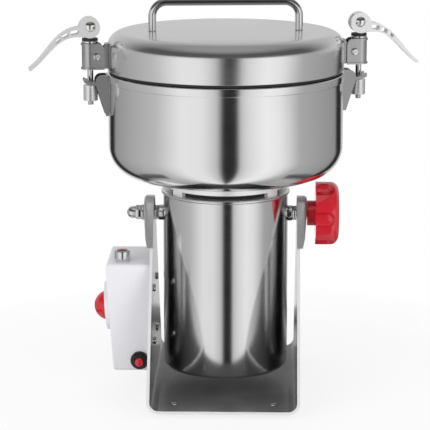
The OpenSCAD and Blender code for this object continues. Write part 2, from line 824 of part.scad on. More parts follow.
module pivot_nuts() {
    color("silver") {
        both_sides() on_axis(barrel_r + pad_t) hex_nut(nut_af, stud_r + seat, inner_nut_t);
        mirror([1, 0, 0]) on_axis(acorn_x) difference() {
            union() {
                cylinder(r = nut_r, h = nut_t, $fn = 6);
                cylinder(r = dome_r, h = acorn_l - dome_r);
                translate([0, 0, acorn_l - dome_r]) sphere(dome_r);
            }
            translate([0, 0, -cut]) cylinder(r = stud_r + seat, h = nut_t * 1.6 + cut);
        }
    }
}

module pivot_washers() {
    color("silver") {
        both_sides() difference() {
            on_axis(barrel_in) cylinder(r = washer_r, h = barrel_t + pad_t);
            on_axis(barrel_in - cut) cylinder(r = stud_r + seat, h = barrel_t + pad_t + 2 * cut);
            translate([0, 0, axis_z - washer_r * 2]) cylinder(r = barrel_r, h = washer_r * 4);
        }
        mirror([1, 0, 0]) on_axis(washer_x) ring(washer_r, stud_r + seat, washer_t);
    }
}

module rotor_shaft() {
    color("#9a9a9a") translate([0, 0, shaft_z])
        cylinder(r = shaft_r, h = blade_top + blade_nut_h * 0.8 - shaft_z);
}

module armature() {
    color("#8a6a50") translate([0, 0, stator_z]) {
        ring(armature_r, shaft_r + seat, stator_l);
        for (z = [-winding_h, stator_l]) translate([0, 0, z])
            ring(armature_r * 0.85, shaft_r + seat, winding_h);
    }
}

module commutator() {
    color("#b87333") translate([0, 0, commutator_z]) difference() {
        ring(commutator_r, shaft_r + seat, commutator_l);
        for (i = [0:11]) rotate([0, 0, 30 * i]) translate([commutator_r - barrel_t, -apart / 2, -cut])
            cube([commutator_r, apart, commutator_l + 2 * cut]);
    }
}

module cooling_fan() {
    disc = fan_h * 0.2;
    hub = shaft_r * 2;
    color("#404448") translate([0, 0, fan_z]) {
        ring(fan_r, shaft_r + seat, disc);
        ring(hub, shaft_r + seat, fan_h);
        for (i = [0:fan_blades - 1]) rotate([0, 0, 360 / fan_blades * i]) translate([hub - disc, 0, disc / 2])
            rotate([0, 0, 20]) cube([(fan_r - hub) * 0.9, disc * 0.7, fan_h - disc]);
    }
}

// One blade: two arms with a bevelled leading edge and a tip bent up or down
module blade(tip) {
    bevel = blade_w * 0.25;
    flat_l = blade_l * 0.78;
    bend = [flat_l, 0];
    end = bend + (blade_l - flat_l) * [cos(tip), sin(tip)];
    side = [bend, end, end + blade_t * [-sin(tip), cos(tip)], bend + blade_t * [-tan(tip / 2), 1]];
    difference() {
        run_y(-blade_w / 2, blade_w)
            polygon(concat(side, [for (i = [len(side) - 1:-1:0]) [-side[i].x, side[i].y]]));
        for (a = [0, 180]) rotate([0, 0, a]) run_x(spacer_r, flat_l - blade_t - spacer_r) polygon([
            [blade_w / 2 - bevel, blade_t + cut],
            [blade_w / 2 + cut, blade_t + cut],
            [blade_w / 2 + cut, blade_edge_t - cut / 2]
        ]);
        translate([0, 0, -cut]) cylinder(r = shaft_r + seat, h = blade_t + 2 * cut);
    }
}

module blades() {
    tips = [-8, 18, 35];
    color("gainsboro") for (i = [0:2]) translate([0, 0, blade_z + i * (blade_t + spacer_h)])
        rotate([0, 0, 20 + blade_turn * i]) blade(tips[i]);
}

module blade_spacers() {
    color("silver") {
        translate([0, 0, bowl_floor + seal_flange_t + apart])
            ring(spacer_r, shaft_r + seat, blade_z - bowl_floor - seal_flange_t - apart);
        for (i = [0:1]) translate([0, 0, blade_z + blade_t + i * (blade_t + spacer_h)])
            ring(spacer_r, shaft_r + seat, spacer_h);
    }
}

module blade_nut() {
    color("silver") translate([0, 0, blade_top]) difference() {
        union() {
            cylinder(r = spacer_r, h = blade_nut_h * 0.8, $fn = 6);
            translate([0, 0, blade_nut_h * 0.8])
                cylinder(r1 = spacer_r * 0.8, r2 = spacer_r * 0.4, h = blade_nut_h * 0.5);
        }
        translate([0, 0, -cut]) cylinder(r = shaft_r + seat, h = blade_nut_h * 0.8 + cut);
    }
}

// Half section of the whole lid, as a solid, grown by a clearance
module lid_outline(grow) {
    translate([0, lid_top + grow]) mirror([0, 1])
        cup_profile(lid_r + grow, lid_h + 2 * grow, lid_corner_r + grow);
}

module lid_shell() {
    color("silver") rotate_extrude() {
        difference() {
            lid_outline(0);
            translate([0, lid_top - lid_t]) mirror([0, 1])
                cup_profile(lid_r - lid_t, lid_h, lid_corner_r - lid_t);
        }
        translate([gasket_in, lid_z]) square([lid_r - gasket_in - lid_t / 2, lid_t]);
    }
}

module lid_gasket() {
    color("#303030") translate([0, 0, rim_z + apart]) ring(gasket_out, gasket_in, seam_h - apart);
}

module lid_handle() {
    half = handle_w / 2 - handle_rod_r;
    bar_z = lid_top + handle_h - handle_rod_r;
    leg_h = bar_z - handle_bend_r - lid_top;
    color("silver") rotate([0, 0, handle_turn]) {
        translate([handle_bend_r - half, 0, bar_z]) along_x()
            cylinder(r = handle_rod_r, h = 2 * (half - handle_bend_r));
        for (s = [-1, 1]) {
            translate([s * half, 0, lid_top]) cylinder(r = handle_rod_r, h = leg_h);
            translate([s * half, 0, lid_top])
                cylinder(r1 = handle_rod_r * 1.45, r2 = handle_rod_r, h = handle_rod_r * 0.4);
            translate([s * (half - handle_bend_r), 0, lid_top + leg_h]) rotate([90, 0, 0])
                rotate([0, 0, s > 0 ? 0 : 90]) rotate_extrude(angle = 90)
                    translate([handle_bend_r, 0]) circle(handle_rod_r);
        }
    }
}

// Carries one clamp to its place on the rim: side -1 is the left one, 1 the right one
module at_clamp(side) { rotate([0, 0, clamp_turn + (side < 0 ? 180 : 0)]) children(); }

// Side view of an ear cheek, round about the swing screw and chamfered above it
module ear_outline() {
    translate([swing_x, swing_z]) {
        circle(ear_nose_r);
        polygon(rounded([
            [0, ear_nose_r], [-ear_nose_r, ear_nose_r * 1.25], [-ear_half_h * 0.8, ear_half_h],
            [ear_x - swing_x, ear_half_h], [ear_x - swing_x, -ear_half_h],
            [-ear_half_h * 0.7, -ear_half_h], [0, -ear_nose_r]
        ], [0, screw_r, screw_r, 0, 0, screw_r, 0]));
    }
}

module ear() {
    difference() {
        union() {
            for (y = [-ear_out, ear_in]) run_y(y, ear_t) ear_outline();
            translate([ear_x, -ear_out, swing_z - ear_half_h])
                cube([ear_t * 1.8, 2 * ear_out, 2 * ear_half_h]);
        }
        rotate_extrude($fn = 360) lid_outline(seat);
        translate([swing_x, -ear_out - cut, swing_z]) along_y()
            cylinder(r = screw_r + run, h = 2 * (ear_out + cut));
    }
}

module lid_ears() { color("gray") for (s = [-1, 1]) at_clamp(s) ear(); }

// Swing box: two cheeks and a round nose about the rod, closed by a cap above and below the rod
module swing_box() {
    nose_in = cbox_half - cbox_t;
    module plan(grow) {
        translate([rod_x, 0]) circle(cbox_half + grow);
        translate([rod_x - cbox_back, -cbox_half - grow]) square([cbox_back, 2 * (cbox_half + grow)]);
    }
    difference() {
        union() {
            translate([0, 0, cbox_z]) linear_extrude(cbox_h) plan(0);
            translate([0, 0, cbox_z]) linear_extrude(cbox_t) plan(cbox_lip);
            translate([0, 0, cbox_top - cbox_t]) linear_extrude(cbox_t) plan(cbox_lip);
        }
        translate([0, 0, cbox_z + cap_t]) linear_extrude(cbox_h - 2 * cap_t) {
            translate([rod_x, 0]) circle(nose_in);
            translate([rod_x - cbox_back - cut, -nose_in]) square([cbox_back + cut, 2 * nose_in]);
        }
        translate([rod_x - cbox_back - cut, -nose_in, cbox_z - cut])
            cube([cbox_back - cap_back + cut, 2 * nose_in, cbox_h + 2 * cut]);
        run_y(-2 * cbox_half, 4 * cbox_half) difference() {
            translate([rod_x - cbox_back - cut, cbox_top - cbox_corner_r])
                square([cbox_corner_r + cut, cbox_corner_r + cut]);
            translate([rod_x - cbox_back + cbox_corner_r, cbox_top - cbox_corner_r]) circle(cbox_corner_r);
        }
        translate([rod_x, 0, cbox_z - cut]) cylinder(r = rod_r + run, h = cbox_h + 2 * cut);
        translate([swing_x, -2 * cbox_half, swing_z]) along_y()
            cylinder(r = screw_r + seat, h = 4 * cbox_half);
    }
}

module swing_screw() {
    head_h = screw_r * 0.9;
    head_r = screw_r * 1.8;
    translate([swing_x, 0, swing_z]) along_y() {
        translate([0, 0, -cbox_half]) cylinder(r = screw_r, h = 2 * cbox_half);
        for (s = [0, 1]) mirror([0, 0, s]) translate([0, 0, cbox_half + seat / 2]) {
            translate([0, 0, -cbox_t]) cylinder(r = screw_r, h = cbox_t);
            cylinder(r = head_r, h = head_h / 2);
            translate([0, 0, head_h / 2]) cylinder(r1 = head_r, r2 = screw_r, h = head_h / 2);
        }
    }
}

module clamp_rings() {
    translate([rod_x, 0, cbox_top]) {
        ring(washer_out_r, rod_r + run, ring_t[0]);
        translate([0, 0, ring_t[0]]) ring(washer_out_r * 0.97, rod_r + run, ring_t[1]);
    }
}

module rod() {
    difference() {
        union() {
            translate([rod_x, 0, rod_foot]) cylinder(r = rod_r, h = pin_z - rod_foot);
            translate([rod_x, -eye_w / 2, pin_z]) along_y() cylinder(r = eye_r, h = eye_w);
        }
        translate([rod_x, -eye_w, pin_z]) along_y() cylinder(r = pin_r + run, h = 2 * eye_w);
    }
}

// Adjusting nut: a collar, a round waist and six flats
module grip_nut() {
    body_h = grip_h - grip_collar_h;
    translate([rod_x, 0, grip_top - grip_h]) difference() {
        union() {
            intersection() {
                cylinder(r = grip_r, h = body_h);
                cylinder(r = grip_r * 0.96 / cos(30), h = body_h, $fn = 6);
            }
            translate([0, 0, body_h]) cylinder(r = grip_r, h = grip_collar_h);
            translate([0, 0, body_h - grip_collar_h * 0.5]) cylinder(r = grip_r * 0.93, h = grip_collar_h);
        }
        translate([0, 0, -cut]) cylinder(r = rod_r + seat, h = grip_h + 2 * cut);
    }
}

// Side view of a cam lever about its pin: x outward, y up. The arm follows one curve and thins to its tip
module lever_outline() {
    arm_share = [[0.1, -0.067], [0.567, -0.05], [0.667, -0.433], [1, -0.683]];
    tip_half = lever_l * 0.022;
    root_half = cam_r * 0.53;
    slot_share = [[0.12, 0.42, 0.21], [0.27, 0.32, 0.18], [0.41, 0.26, 0.14]];
    steps = 14;
    head = cam_e * [sin(cam_phase), -cos(cam_phase)];
    path = lever_l * arm_share;
    function half(t) = tip_half + (root_half - tip_half) * pow(1 - t, 2);
    function side(t, s) = let (d = heading(path, t)) curve(path, t) + s * half(t) * [-d.y, d.x];
    difference() {
        translate(head) {
            circle(cam_r);
            polygon([
                for (i = [0:steps]) side(i / steps, 1),
                for (i = [steps:-1:0]) side(i / steps, -1)
            ]);
            translate(path[3]) circle(tip_half, $fn = 24);
        }
        for (s = slot_share) {
            d = heading(path, s[0]);
            translate(head + curve(path, s[0])) rotate(atan2(d.y, d.x)) {
                long = cam_r * s[1];
                r = cam_r * s[2];
                for (x = [-long, long]) translate([x / 2, 0]) circle(r, $fn = 24);
                translate([-long / 2, -r]) square([long, 2 * r]);
            }
        }
    }
}

module lever() {
    fork = eye_w / 2 + apart;
    cap_h = pin_head_r * 0.45;
    ball_r = (pin_head_r * pin_head_r + cap_h * cap_h) / (2 * cap_h);
    translate([rod_x, 0, pin_z]) {
        difference() {
            translate([0, lever_w / 2, 0]) rotate([90, 0, 0]) linear_extrude(lever_w) lever_outline();
            translate([-3 * cam_r, -fork, -2 * cam_r]) cube([3 * cam_r + rod_r + apart, 2 * fork, 2 * cam_r]);
            translate([-3 * cam_r, -fork, -cut]) cube([3 * cam_r, 2 * fork, eye_r * 1.4 + cut]);
            translate([0, -fork, 0]) along_y() cylinder(r = eye_r + apart, h = 2 * fork);
            translate([0, -lever_w, 0]) along_y() cylinder(r = pin_r + seat, h = 2 * lever_w);
        }
        translate([0, -lever_w / 2, 0]) along_y() cylinder(r = pin_r, h = lever_w);
        for (s = [0, 1]) mirror([0, s, 0]) translate([0, lever_w / 2, 0]) along_y() intersection() {
            cylinder(r = pin_head_r, h = cap_h);
            translate([0, 0, cap_h - ball_r]) sphere(ball_r);
        }
    }
}

// Fork plate of the bowl: a saddle curved about the swing screw, slotted for the rod, on two cheeks
module bracket() {
    reach_in = swing_x - bracket_x;
    reach_out = rod_x + fork_lip - swing_x;
    horn_top = rim_z - apart;
    horn_out = bracket_x + 2 * horn_r;
    back = bracket_x - bracket_t;
    cheek = rounded([
        [back, horn_top], [horn_out, horn_top], [horn_out, swing_z - fork_reach],
        [bracket_x + bracket_t * 1.5, bracket_foot], [back, bracket_foot]
    ], [0, horn_r, 0, 0, 0]);
    difference() {
        union() {
            run_y(-fork_half, 2 * fork_half) intersection() {
                difference() {
                    translate([swing_x, swing_z]) circle(fork_reach, $fn = 128);
                    translate([swing_x, swing_z]) circle(fork_reach - fork_t, $fn = 128);
                }
                translate([back, swing_z - fork_reach - cut])
                    square([reach_in + bracket_t + reach_out, fork_reach - ear_half_h]);
            }
            for (y = [-cheek_in - cheek_t, cheek_in]) run_y(y, cheek_t) polygon(cheek);
            translate([back, -cheek_in - cheek_t, bracket_foot])
                cube([2 * bracket_t, 2 * (cheek_in + cheek_t), horn_top - bracket_foot]);
        }
        translate([0, 0, rim_z - bowl_h]) cylinder(r = rim_r + seat, h = 2 * bowl_h, $fn = 360);
        translate([rod_x, 0, bracket_foot]) cylinder(r = rod_r + apart * 1.4, h = bowl_h);
        translate([rod_x, -rod_r - apart * 1.4, bracket_foot])
            cube([fork_reach, 2 * (rod_r + apart * 1.4), bowl_h]);
    }
}

module clamp_box_left() { color("#909090") at_clamp(-1) swing_box(); }
module clamp_box_right() { color("#909090") at_clamp(1) swing_box(); }
module clamp_screw_left() { color("silver") at_clamp(-1) swing_screw(); }
module clamp_screw_right() { color("silver") at_clamp(1) swing_screw(); }
module clamp_washers_left() { color("#505050") at_clamp(-1) clamp_rings(); }
module clamp_washers_right() { color("#505050") at_clamp(1) clamp_rings(); }
module clamp_rod_left() { color("silver") at_clamp(-1) rod(); }
module clamp_rod_right() { color("silver") at_clamp(1) rod(); }
module clamp_nut_left() { color("gainsboro") at_clamp(-1) grip_nut(); }
module clamp_nut_right() { color("gainsboro") at_clamp(1) grip_nut(); }
module clamp_lever_left() { color("#a0a0a0") at_clamp(-1) lever(); }
module clamp_lever_right() { color("#a0a0a0") at_clamp(1) lever(); }
module bowl_bracket_left() { color("#888888") at_clamp(-1) bracket(); }
module bowl_bracket_right() { color("#888888") at_clamp(1) bracket(); }

// Lobed knob: a turned head on a hub, with finger recesses that run in from its back edge
module lock_knob() {
    edge = knob_head_l * 0.36;
    recess_l = knob_head_l * 0.5;
    color("#d01818") on_axis(knob_x) difference() {
        union() {
            cylinder(r = knob_hub_r, h = knob_hub_l + cut);
            translate([0, 0, knob_hub_l]) rotate_extrude() translate([0, knob_head_l]) mirror([0, 1])
                cup_profile(knob_r, knob_head_l, edge);
        }
        for (i = [0:knob_recesses - 1]) rotate([0, 0, 360 / knob_recesses * i])
            translate([knob_r + knob_recess_r * 0.35, 0, knob_hub_l - cut]) {
                cylinder(r = knob_recess_r, h = recess_l + cut);
                translate([0, 0, recess_l + cut]) sphere(knob_recess_r);
            }
        translate([0, 0, -cut]) cylinder(r = insert_r + seat, h = insert_l + cut);
    }
}

module knob_insert() {
    color("goldenrod") on_axis(knob_x) ring(insert_r, stud_r + run, insert_l);
}

base_frame();
pivot_block_left();
pivot_block_right();
rubber_feet();
base_screws();
control_box();
button_boss();
pilot_bezel();
pilot_lens();
breaker_ring();
cable_gland();
power_button();
breaker_button();
motor_barrel();
vent_cover();
mill_screws();
upper_shield();
lower_shield();
bearings();
stator();
field_windings();
brush_holders();
brushes();
brush_springs();
neck_ring();
bowl();
seal_housing();
shaft_seal();
bowl_bracket_left();
bowl_bracket_right();
pivot_studs();
pivot_nuts();
pivot_washers();
rotor_shaft();
armature();
commutator();
cooling_fan();
blades();
blade_spacers();
blade_nut();
lid_shell();
lid_gasket();
lid_handle();
lid_ears();
clamp_box_left();
clamp_screw_left();
clamp_washers_left();
clamp_rod_left();
clamp_nut_left();
clamp_lever_left();
clamp_box_right();
clamp_screw_right();
clamp_washers_right();
clamp_rod_right();
clamp_nut_right();
clamp_lever_right();
lock_knob();
knob_insert();
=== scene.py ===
"""Electric grain mill: a bowl with a motor barrel that tilts between two arms, dressed for pictures."""

import json
from math import asin, atan, cos, degrees, pi, radians, sin

import bmesh
import bpy
from bpy.props import FloatProperty, FloatVectorProperty, PointerProperty
from mathutils import Matrix, Vector

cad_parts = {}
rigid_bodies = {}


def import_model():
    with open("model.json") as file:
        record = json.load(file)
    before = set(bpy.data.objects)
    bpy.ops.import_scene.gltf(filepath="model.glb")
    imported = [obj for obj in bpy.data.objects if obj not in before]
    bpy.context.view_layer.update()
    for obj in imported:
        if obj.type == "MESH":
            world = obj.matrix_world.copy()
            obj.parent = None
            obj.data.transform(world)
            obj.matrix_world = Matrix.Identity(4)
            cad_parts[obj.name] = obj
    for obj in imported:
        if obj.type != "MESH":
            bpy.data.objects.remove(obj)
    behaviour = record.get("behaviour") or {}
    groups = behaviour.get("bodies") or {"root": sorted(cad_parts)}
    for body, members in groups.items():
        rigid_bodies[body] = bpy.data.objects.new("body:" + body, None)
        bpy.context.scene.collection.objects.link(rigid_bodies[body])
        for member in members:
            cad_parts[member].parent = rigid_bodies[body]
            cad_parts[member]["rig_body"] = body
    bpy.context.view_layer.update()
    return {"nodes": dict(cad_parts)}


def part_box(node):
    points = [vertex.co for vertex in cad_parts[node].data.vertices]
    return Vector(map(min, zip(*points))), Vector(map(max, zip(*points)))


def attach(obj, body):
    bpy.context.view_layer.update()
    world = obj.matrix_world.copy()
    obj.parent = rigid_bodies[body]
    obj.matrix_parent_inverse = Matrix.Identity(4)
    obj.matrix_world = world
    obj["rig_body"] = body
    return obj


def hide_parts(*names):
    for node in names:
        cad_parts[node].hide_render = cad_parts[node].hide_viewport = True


bl_info = {
    "name": "Electric grain mill",
    "version": (1, 0, 0),
    "blender": (4, 5, 0),
    "location": "3D View > Sidebar > Grain Mill",
    "description": "Builds the dressed grain mill round its packed solids",
    "category": "Object",
}

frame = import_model()
NODES = frame["nodes"]


def foot_of(node):
    """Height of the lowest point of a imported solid."""
    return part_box(node)[0].z


def top_of(node):
    """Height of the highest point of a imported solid."""
    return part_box(node)[1].z


def reach_of(node):
    """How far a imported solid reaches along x."""
    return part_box(node)[1].x


def middle_of(node):
    """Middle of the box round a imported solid."""
    low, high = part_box(node)
    return (low + high) / 2


# Sizes in metres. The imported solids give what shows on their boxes, and the rest is drawn to fit them
APART = 0.0003
PLATE_TOP = 0.0075
ARM_IN, ARM_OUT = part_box("pivot_block_right")[0].x, reach_of("base_frame")
BLOCK_FACE = reach_of("pivot_block_right")
AXIS_Z = 0.185
BOX_H = top_of("control_box") - foot_of("control_box")

BARREL_Z, BARREL_TOP = foot_of("motor_barrel"), top_of("motor_barrel")
BARREL_R, BARREL_WALL, BARREL_CORNER = 0.0645, 0.0015, 0.0038
BEAD_R, BEAD_H = 0.0664, 0.003
NECK_R, NECK_TOP, NECK_WALL = reach_of("neck_ring"), top_of("neck_ring"), 0.005
BOWL_R, BOWL_TOP, BOWL_WALL, BOWL_CORNER = 0.120, top_of("bowl"), 0.002, 0.031
RIM_R, RIM_H = reach_of("bowl"), 0.0082
SEAL_R = 0.0135
LID_R, LID_Z, LID_TOP = reach_of("lid_shell"), foot_of("lid_shell"), top_of("lid_shell")
LID_WALL, LID_CORNER = 0.002, 0.0155

CLAMP_TURN = 10
CLAMP_BOX_TOP = top_of("clamp_box_right")
SWING_X, SWING_Z = 0.1323, 0.3512
ROD_X, ROD_R = 0.1383, 0.003
PIN_Z, PIN_R = 0.38133, 0.0056

# One turn of a thread: shares of its pitch, and how deep the line is cut there as shares of its depth
THREAD = ((0.0, 1), (0.15, 1), (0.5, 0), (0.65, 0))


# Meshes

# Longest straight run of a rounded corner, and the distances under which two points are one
FILLET_STEP = 0.0012
NEAR, NEARER = 1e-6, 1e-7


def join(bm, distance=NEAR):
    """Merges doubles and turns every face outwards."""
    bmesh.ops.remove_doubles(bm, verts=bm.verts, dist=distance)
    bmesh.ops.recalc_face_normals(bm, faces=bm.faces)
    return bm


def line(points, closed=False):
    """A line through points of (radius, height, fillet) in the x-z plane. A fillet rounds its corner."""
    bm = bmesh.new()
    verts = [bm.verts.new((point[0], 0, point[1])) for point in points]
    pairs = list(zip(verts, verts[1:])) + ([(verts[-1], verts[0])] if closed else [])
    for pair in pairs:
        bm.edges.new(pair)
    fillets = {vert: point[2] for vert, point in zip(verts, points) if len(point) > 2}
    for vert, fillet in fillets.items():
        steps = max(3, min(14, round(fillet / FILLET_STEP)))
        bmesh.ops.bevel(
            bm, geom=[vert], offset=fillet, offset_type="OFFSET", segments=steps, profile=0.5,
            affect="VERTICES", material=-1)
    return bm


def turned(points, steps=96, closed=False):
    """A line turned about z into a solid. A closed line gives a ring or a shell."""
    bm = line(points, closed)
    bmesh.ops.spin(
        bm, geom=bm.verts[:] + bm.edges[:], cent=(0, 0, 0), axis=(0, 0, 1), angle=2 * pi, steps=steps,
        use_merge=True)
    return join(bm)


def tube(inner, outer, low, high, low_fillet, high_fillet, steps=64):
    """A ring between two radii and two heights, with its outer corners rounded."""
    return turned([
        (inner, low), (outer, low, low_fillet), (outer, high, high_fillet), (inner, high)], steps, closed=True)


def mesh_of(name, bm):
    """Writes a bmesh into a new mesh, and frees it."""
    mesh = bpy.data.meshes.new(name)
    bm.to_mesh(mesh)
    bm.free()
    return mesh


def added(bm, *others):
    """Puts other meshes into this one, as loose parts of the same piece."""
    for other in others:
        spare = mesh_of("spare", other)
        bm.from_mesh(spare)
        bpy.data.meshes.remove(spare)
    return bm


def moved(bm, matrix):
    """Carries a mesh to its place. A mirror image is turned right side out."""
    bm.transform(matrix)
    if matrix.determinant() < 0:
        bmesh.ops.reverse_faces(bm, faces=bm.faces)
    return bm


def at(x=0.0, y=0.0, z=0.0):
    return Matrix.Translation((x, y, z))


def turn(angle, axis):
    return Matrix.Rotation(radians(angle), 4, axis)


ALONG_X = turn(90, "Y")
ALONG_Y = turn(-90, "X")
MIRROR_X = Matrix.Scale(-1, 4, (1, 0, 0))
MIRROR_Z = Matrix.Scale(-1, 4, (0, 0, 1))


def linked(name, data):
    """A new object in the scene."""
    made = bpy.data.objects.new(name, data)
    bpy.context.scene.collection.objects.link(made)
    return made


def piece(name, bm, body, finish, nodes=(), sharp=35):
    """Makes an object of a bmesh, smooth but for its sharp edges, with its body and finish, and hides the
    imported solids it stands for."""
    mesh = mesh_of(name, bm)
    for spare in ("custom_normal", "sharp_face"):
        if spare in mesh.attributes:
            mesh.attributes.remove(mesh.attributes[spare])
    mesh.shade_smooth()
    mesh.set_sharp_from_angle(angle=radians(sharp))
    mesh.materials.append(finish_of(finish))
    made = linked(name, mesh)
    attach(made, body)
    if nodes:
        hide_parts(*nodes)
    return made


def merged(node):
    """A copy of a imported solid's mesh, with its loose triangles joined into flat faces."""
    bm = bmesh.new()
    bm.from_mesh(NODES[node].data)
    bmesh.ops.remove_doubles(bm, verts=bm.verts, dist=2 * NEAR)
    bmesh.ops.dissolve_limit(
        bm, angle_limit=radians(0.5), use_dissolve_boundaries=False, verts=bm.verts, edges=bm.edges)
    return bm


def softened(node, finish, width, segments):
    """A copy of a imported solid, with its edges rounded where they turn by more than 30 degrees."""
    made = piece(node + "_dressed", merged(node), NODES[node]["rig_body"], finish, [node])
    soft = made.modifiers.new("Soft edges", "BEVEL")
    soft.width = width * look().softness
    soft.segments = segments
    soft.limit_method = "ANGLE"
    soft.angle_limit = radians(30)
    soft.harden_normals = True
    return made


def helix(radius, pitch, length, depth, steps=32):
    """A threaded bar along z from zero to length, with flat ends."""
    turns = int(length / pitch) + 3
    bm = bmesh.new()
    verts = []
    for i in range(turns):
        for share, bite in THREAD:
            verts.append(bm.verts.new((radius - bite * depth, 0, pitch * (i - 1.5 + share))))
    for pair in zip(verts, verts[1:]):
        bm.edges.new(pair)
    bmesh.ops.spin(
        bm, geom=bm.verts[:] + bm.edges[:], cent=(0, 0, 0), axis=(0, 0, 1), angle=2 * pi,
        dvec=(0, 0, pitch / steps), steps=steps, use_merge=False)
    bmesh.ops.remove_doubles(bm, verts=bm.verts, dist=pitch * 1e-3)
    for height, below in ((0, True), (length, False)):
        bmesh.ops.bisect_plane(
            bm, geom=bm.verts[:] + bm.edges[:] + bm.faces[:], plane_co=(0, 0, height), plane_no=(0, 0, 1),
            clear_inner=below, clear_outer=not below)
        rim = [
            edge for edge in bm.edges
            if edge.is_boundary and abs(edge.verts[0].co.z - height) < pitch * 0.01]
        bmesh.ops.contextual_create(bm, geom=rim)
    return join(bm, NEARER)


# Shaders

class Signal:
    """A socket of a material, so that shader maths is written as an expression."""

    def __init__(self, shade, socket):
        self.shade = shade
        self.socket = socket

    def maths(self, operation, *values):
        return self.shade.node("ShaderNodeMath", {"operation": operation}, dict(enumerate(values)))

    def __add__(self, other):
        return self.maths("ADD", self, other)

    def __sub__(self, other):
        return self.maths("SUBTRACT", self, other)

    def __rsub__(self, other):
        return self.maths("SUBTRACT", other, self)

    def __mul__(self, other):
        return self.maths("MULTIPLY", self, other)

    def __truediv__(self, other):
        return self.maths("DIVIDE", self, other)

    def __pow__(self, other):
        return self.maths("POWER", self, other)

    __radd__ = __add__
    __rmul__ = __mul__

    def size(self):
        """The signal without its sign."""
        return self.maths("ABSOLUTE", self)

    def wave(self):
        """A wave between -1 and 1, which takes the signal as its angle."""
        return self.maths("SINE", self)

    def fraction(self):
        return self.maths("FRACT", self)

    def larger(self, other):
        return self.maths("MAXIMUM", self, other)

    def bearing(self, other):
        """Angle of the direction that runs this far along y and the other far along x."""
        return self.maths("ARCTAN2", self, other)

    def span(self, low, high):
        """From 0 at low to 1 at high, held beyond them. Low may be the larger."""
        return self.shade.node(
            "ShaderNodeMapRange", {"clamp": True}, {"Value": self, "From Min": low, "From Max": high})


class Tree:
    """The nodes of a material or of the world. Other nodes than maths all come from one method."""

    def __init__(self, tree):
        self.tree = tree

    def node(self, kind, settings=None, inputs=None, output=0):
        """Adds a node: its settings first, then the values or links of its sockets. The setting stops is a
        ramp's list of (position, grey)."""
        made = self.tree.nodes.new(kind)
        for key, value in (settings or {}).items():
            if key == "stops":
                stops = made.color_ramp.elements
                first, *middle, last = value
                ends = [(stops[0], first), (stops[-1], last)]
                for stop, (position, grey) in ends + [(stops.new(step[0]), step) for step in middle]:
                    stop.position = position
                    stop.color = (grey, grey, grey, 1)
            else:
                setattr(made, key, value)
        for key, value in (inputs or {}).items():
            if isinstance(value, Signal):
                self.tree.links.new(value.socket, made.inputs[key])
            else:
                made.inputs[key].default_value = value
        return Signal(self, made.outputs[output])

    def split(self, where):
        """The x, y and z of a vector, as three signals."""
        parts = self.node("ShaderNodeSeparateXYZ", {}, {"Vector": where})
        return [Signal(self, output) for output in parts.socket.node.outputs]

    def rays(self, *names):
        """One signal for each kind of ray: 1 where light is traced by it."""
        path = self.node("ShaderNodeLightPath")
        return [Signal(self, path.socket.node.outputs[name]) for name in names]

    def joined(self, x, y, z):
        return self.node("ShaderNodeCombineXYZ", {}, {"X": x, "Y": y, "Z": z})

    def mixed(self, share, low, high):
        """A colour between low, where the share is 0, and high, where it is 1."""
        return self.node(
            "ShaderNodeMix", {"data_type": "RGBA"},
            {"Factor": share, 6: low if isinstance(low, Signal) else (*low, 1),
             7: high if isinstance(high, Signal) else (*high, 1)}, output=2)


class Shade(Tree):
    """One material on a Principled shader. Values passed by name go on the shader's own sockets."""

    def __init__(self, name, color, roughness, **uniform):
        self.material = bpy.data.materials.new(name)
        self.material.use_nodes = True
        super().__init__(self.material.node_tree)
        self.shader = self.tree.nodes["Principled BSDF"]
        self.shader.inputs["Base Color"].default_value = (*color, 1)
        self.shader.inputs["Roughness"].default_value = roughness
        for socket, value in uniform.items():
            self.shader.inputs[socket.replace("_", " ")].default_value = value
        self.place = self.node("ShaderNodeTexCoord", output="Object")

    def feed(self, **signals):
        """Links signals to the shader's sockets of these names."""
        for socket, signal in signals.items():
            self.tree.links.new(signal.socket, self.shader.inputs[socket.replace("_", " ")])
        return self

    def noise(self, where, scale, detail=3.0, roughness=0.5):
        return self.node(
            "ShaderNodeTexNoise", {},
            {"Vector": where, "Scale": scale, "Detail": detail, "Roughness": roughness})

    def stretched(self, x, y, z):
        """The place on the piece with each direction scaled, for grain that runs one way."""
        return self.node("ShaderNodeMapping", {}, {"Vector": self.place, "Scale": (x, y, z)})

    def round_z(self, about, along, across):
        """Place round the z axis as (radius, angle, height), scaled for grain that runs round."""
        x, y, z = self.split(self.place)
        radius = (x * x + y * y) ** 0.5
        return self.joined(radius * across, y.bearing(x) * about, z * along)

    def bump(self, height, distance):
        """Relief this many metres deep, where the height goes from 0 to 1."""
        normal = self.node("ShaderNodeBump", {}, {"Height": height, "Distance": distance, "Strength": 1.0})
        return self.feed(Normal=normal)


def steel(name, color, rough, grain="round", line_depth=0.000004, smear=0.06, lines=1400.0):
    """Steel sheet with polishing lines that run round the axis, or along x, y or z, and faint smears."""
    shade = Shade(name, color, rough, Metallic=1.0)
    if grain == "round":
        where = shade.round_z(1.6, lines, lines)
    else:
        where = shade.stretched(*(lines * (0.012 if axis == grain else 1.0) for axis in "xyz"))
    fine = shade.noise(where, 1.0, 2.0, 0.6)
    cloud = shade.noise(shade.place, 22.0, 4.0, 0.55)
    shade.feed(
        Roughness=(cloud - 0.5) * smear + (fine - 0.5) * (rough * 0.5) + rough,
        Base_Color=shade.mixed(cloud.span(0.3, 0.75), [c * 0.965 for c in color], color))
    shade.bump(fine, line_depth)
    return shade.material


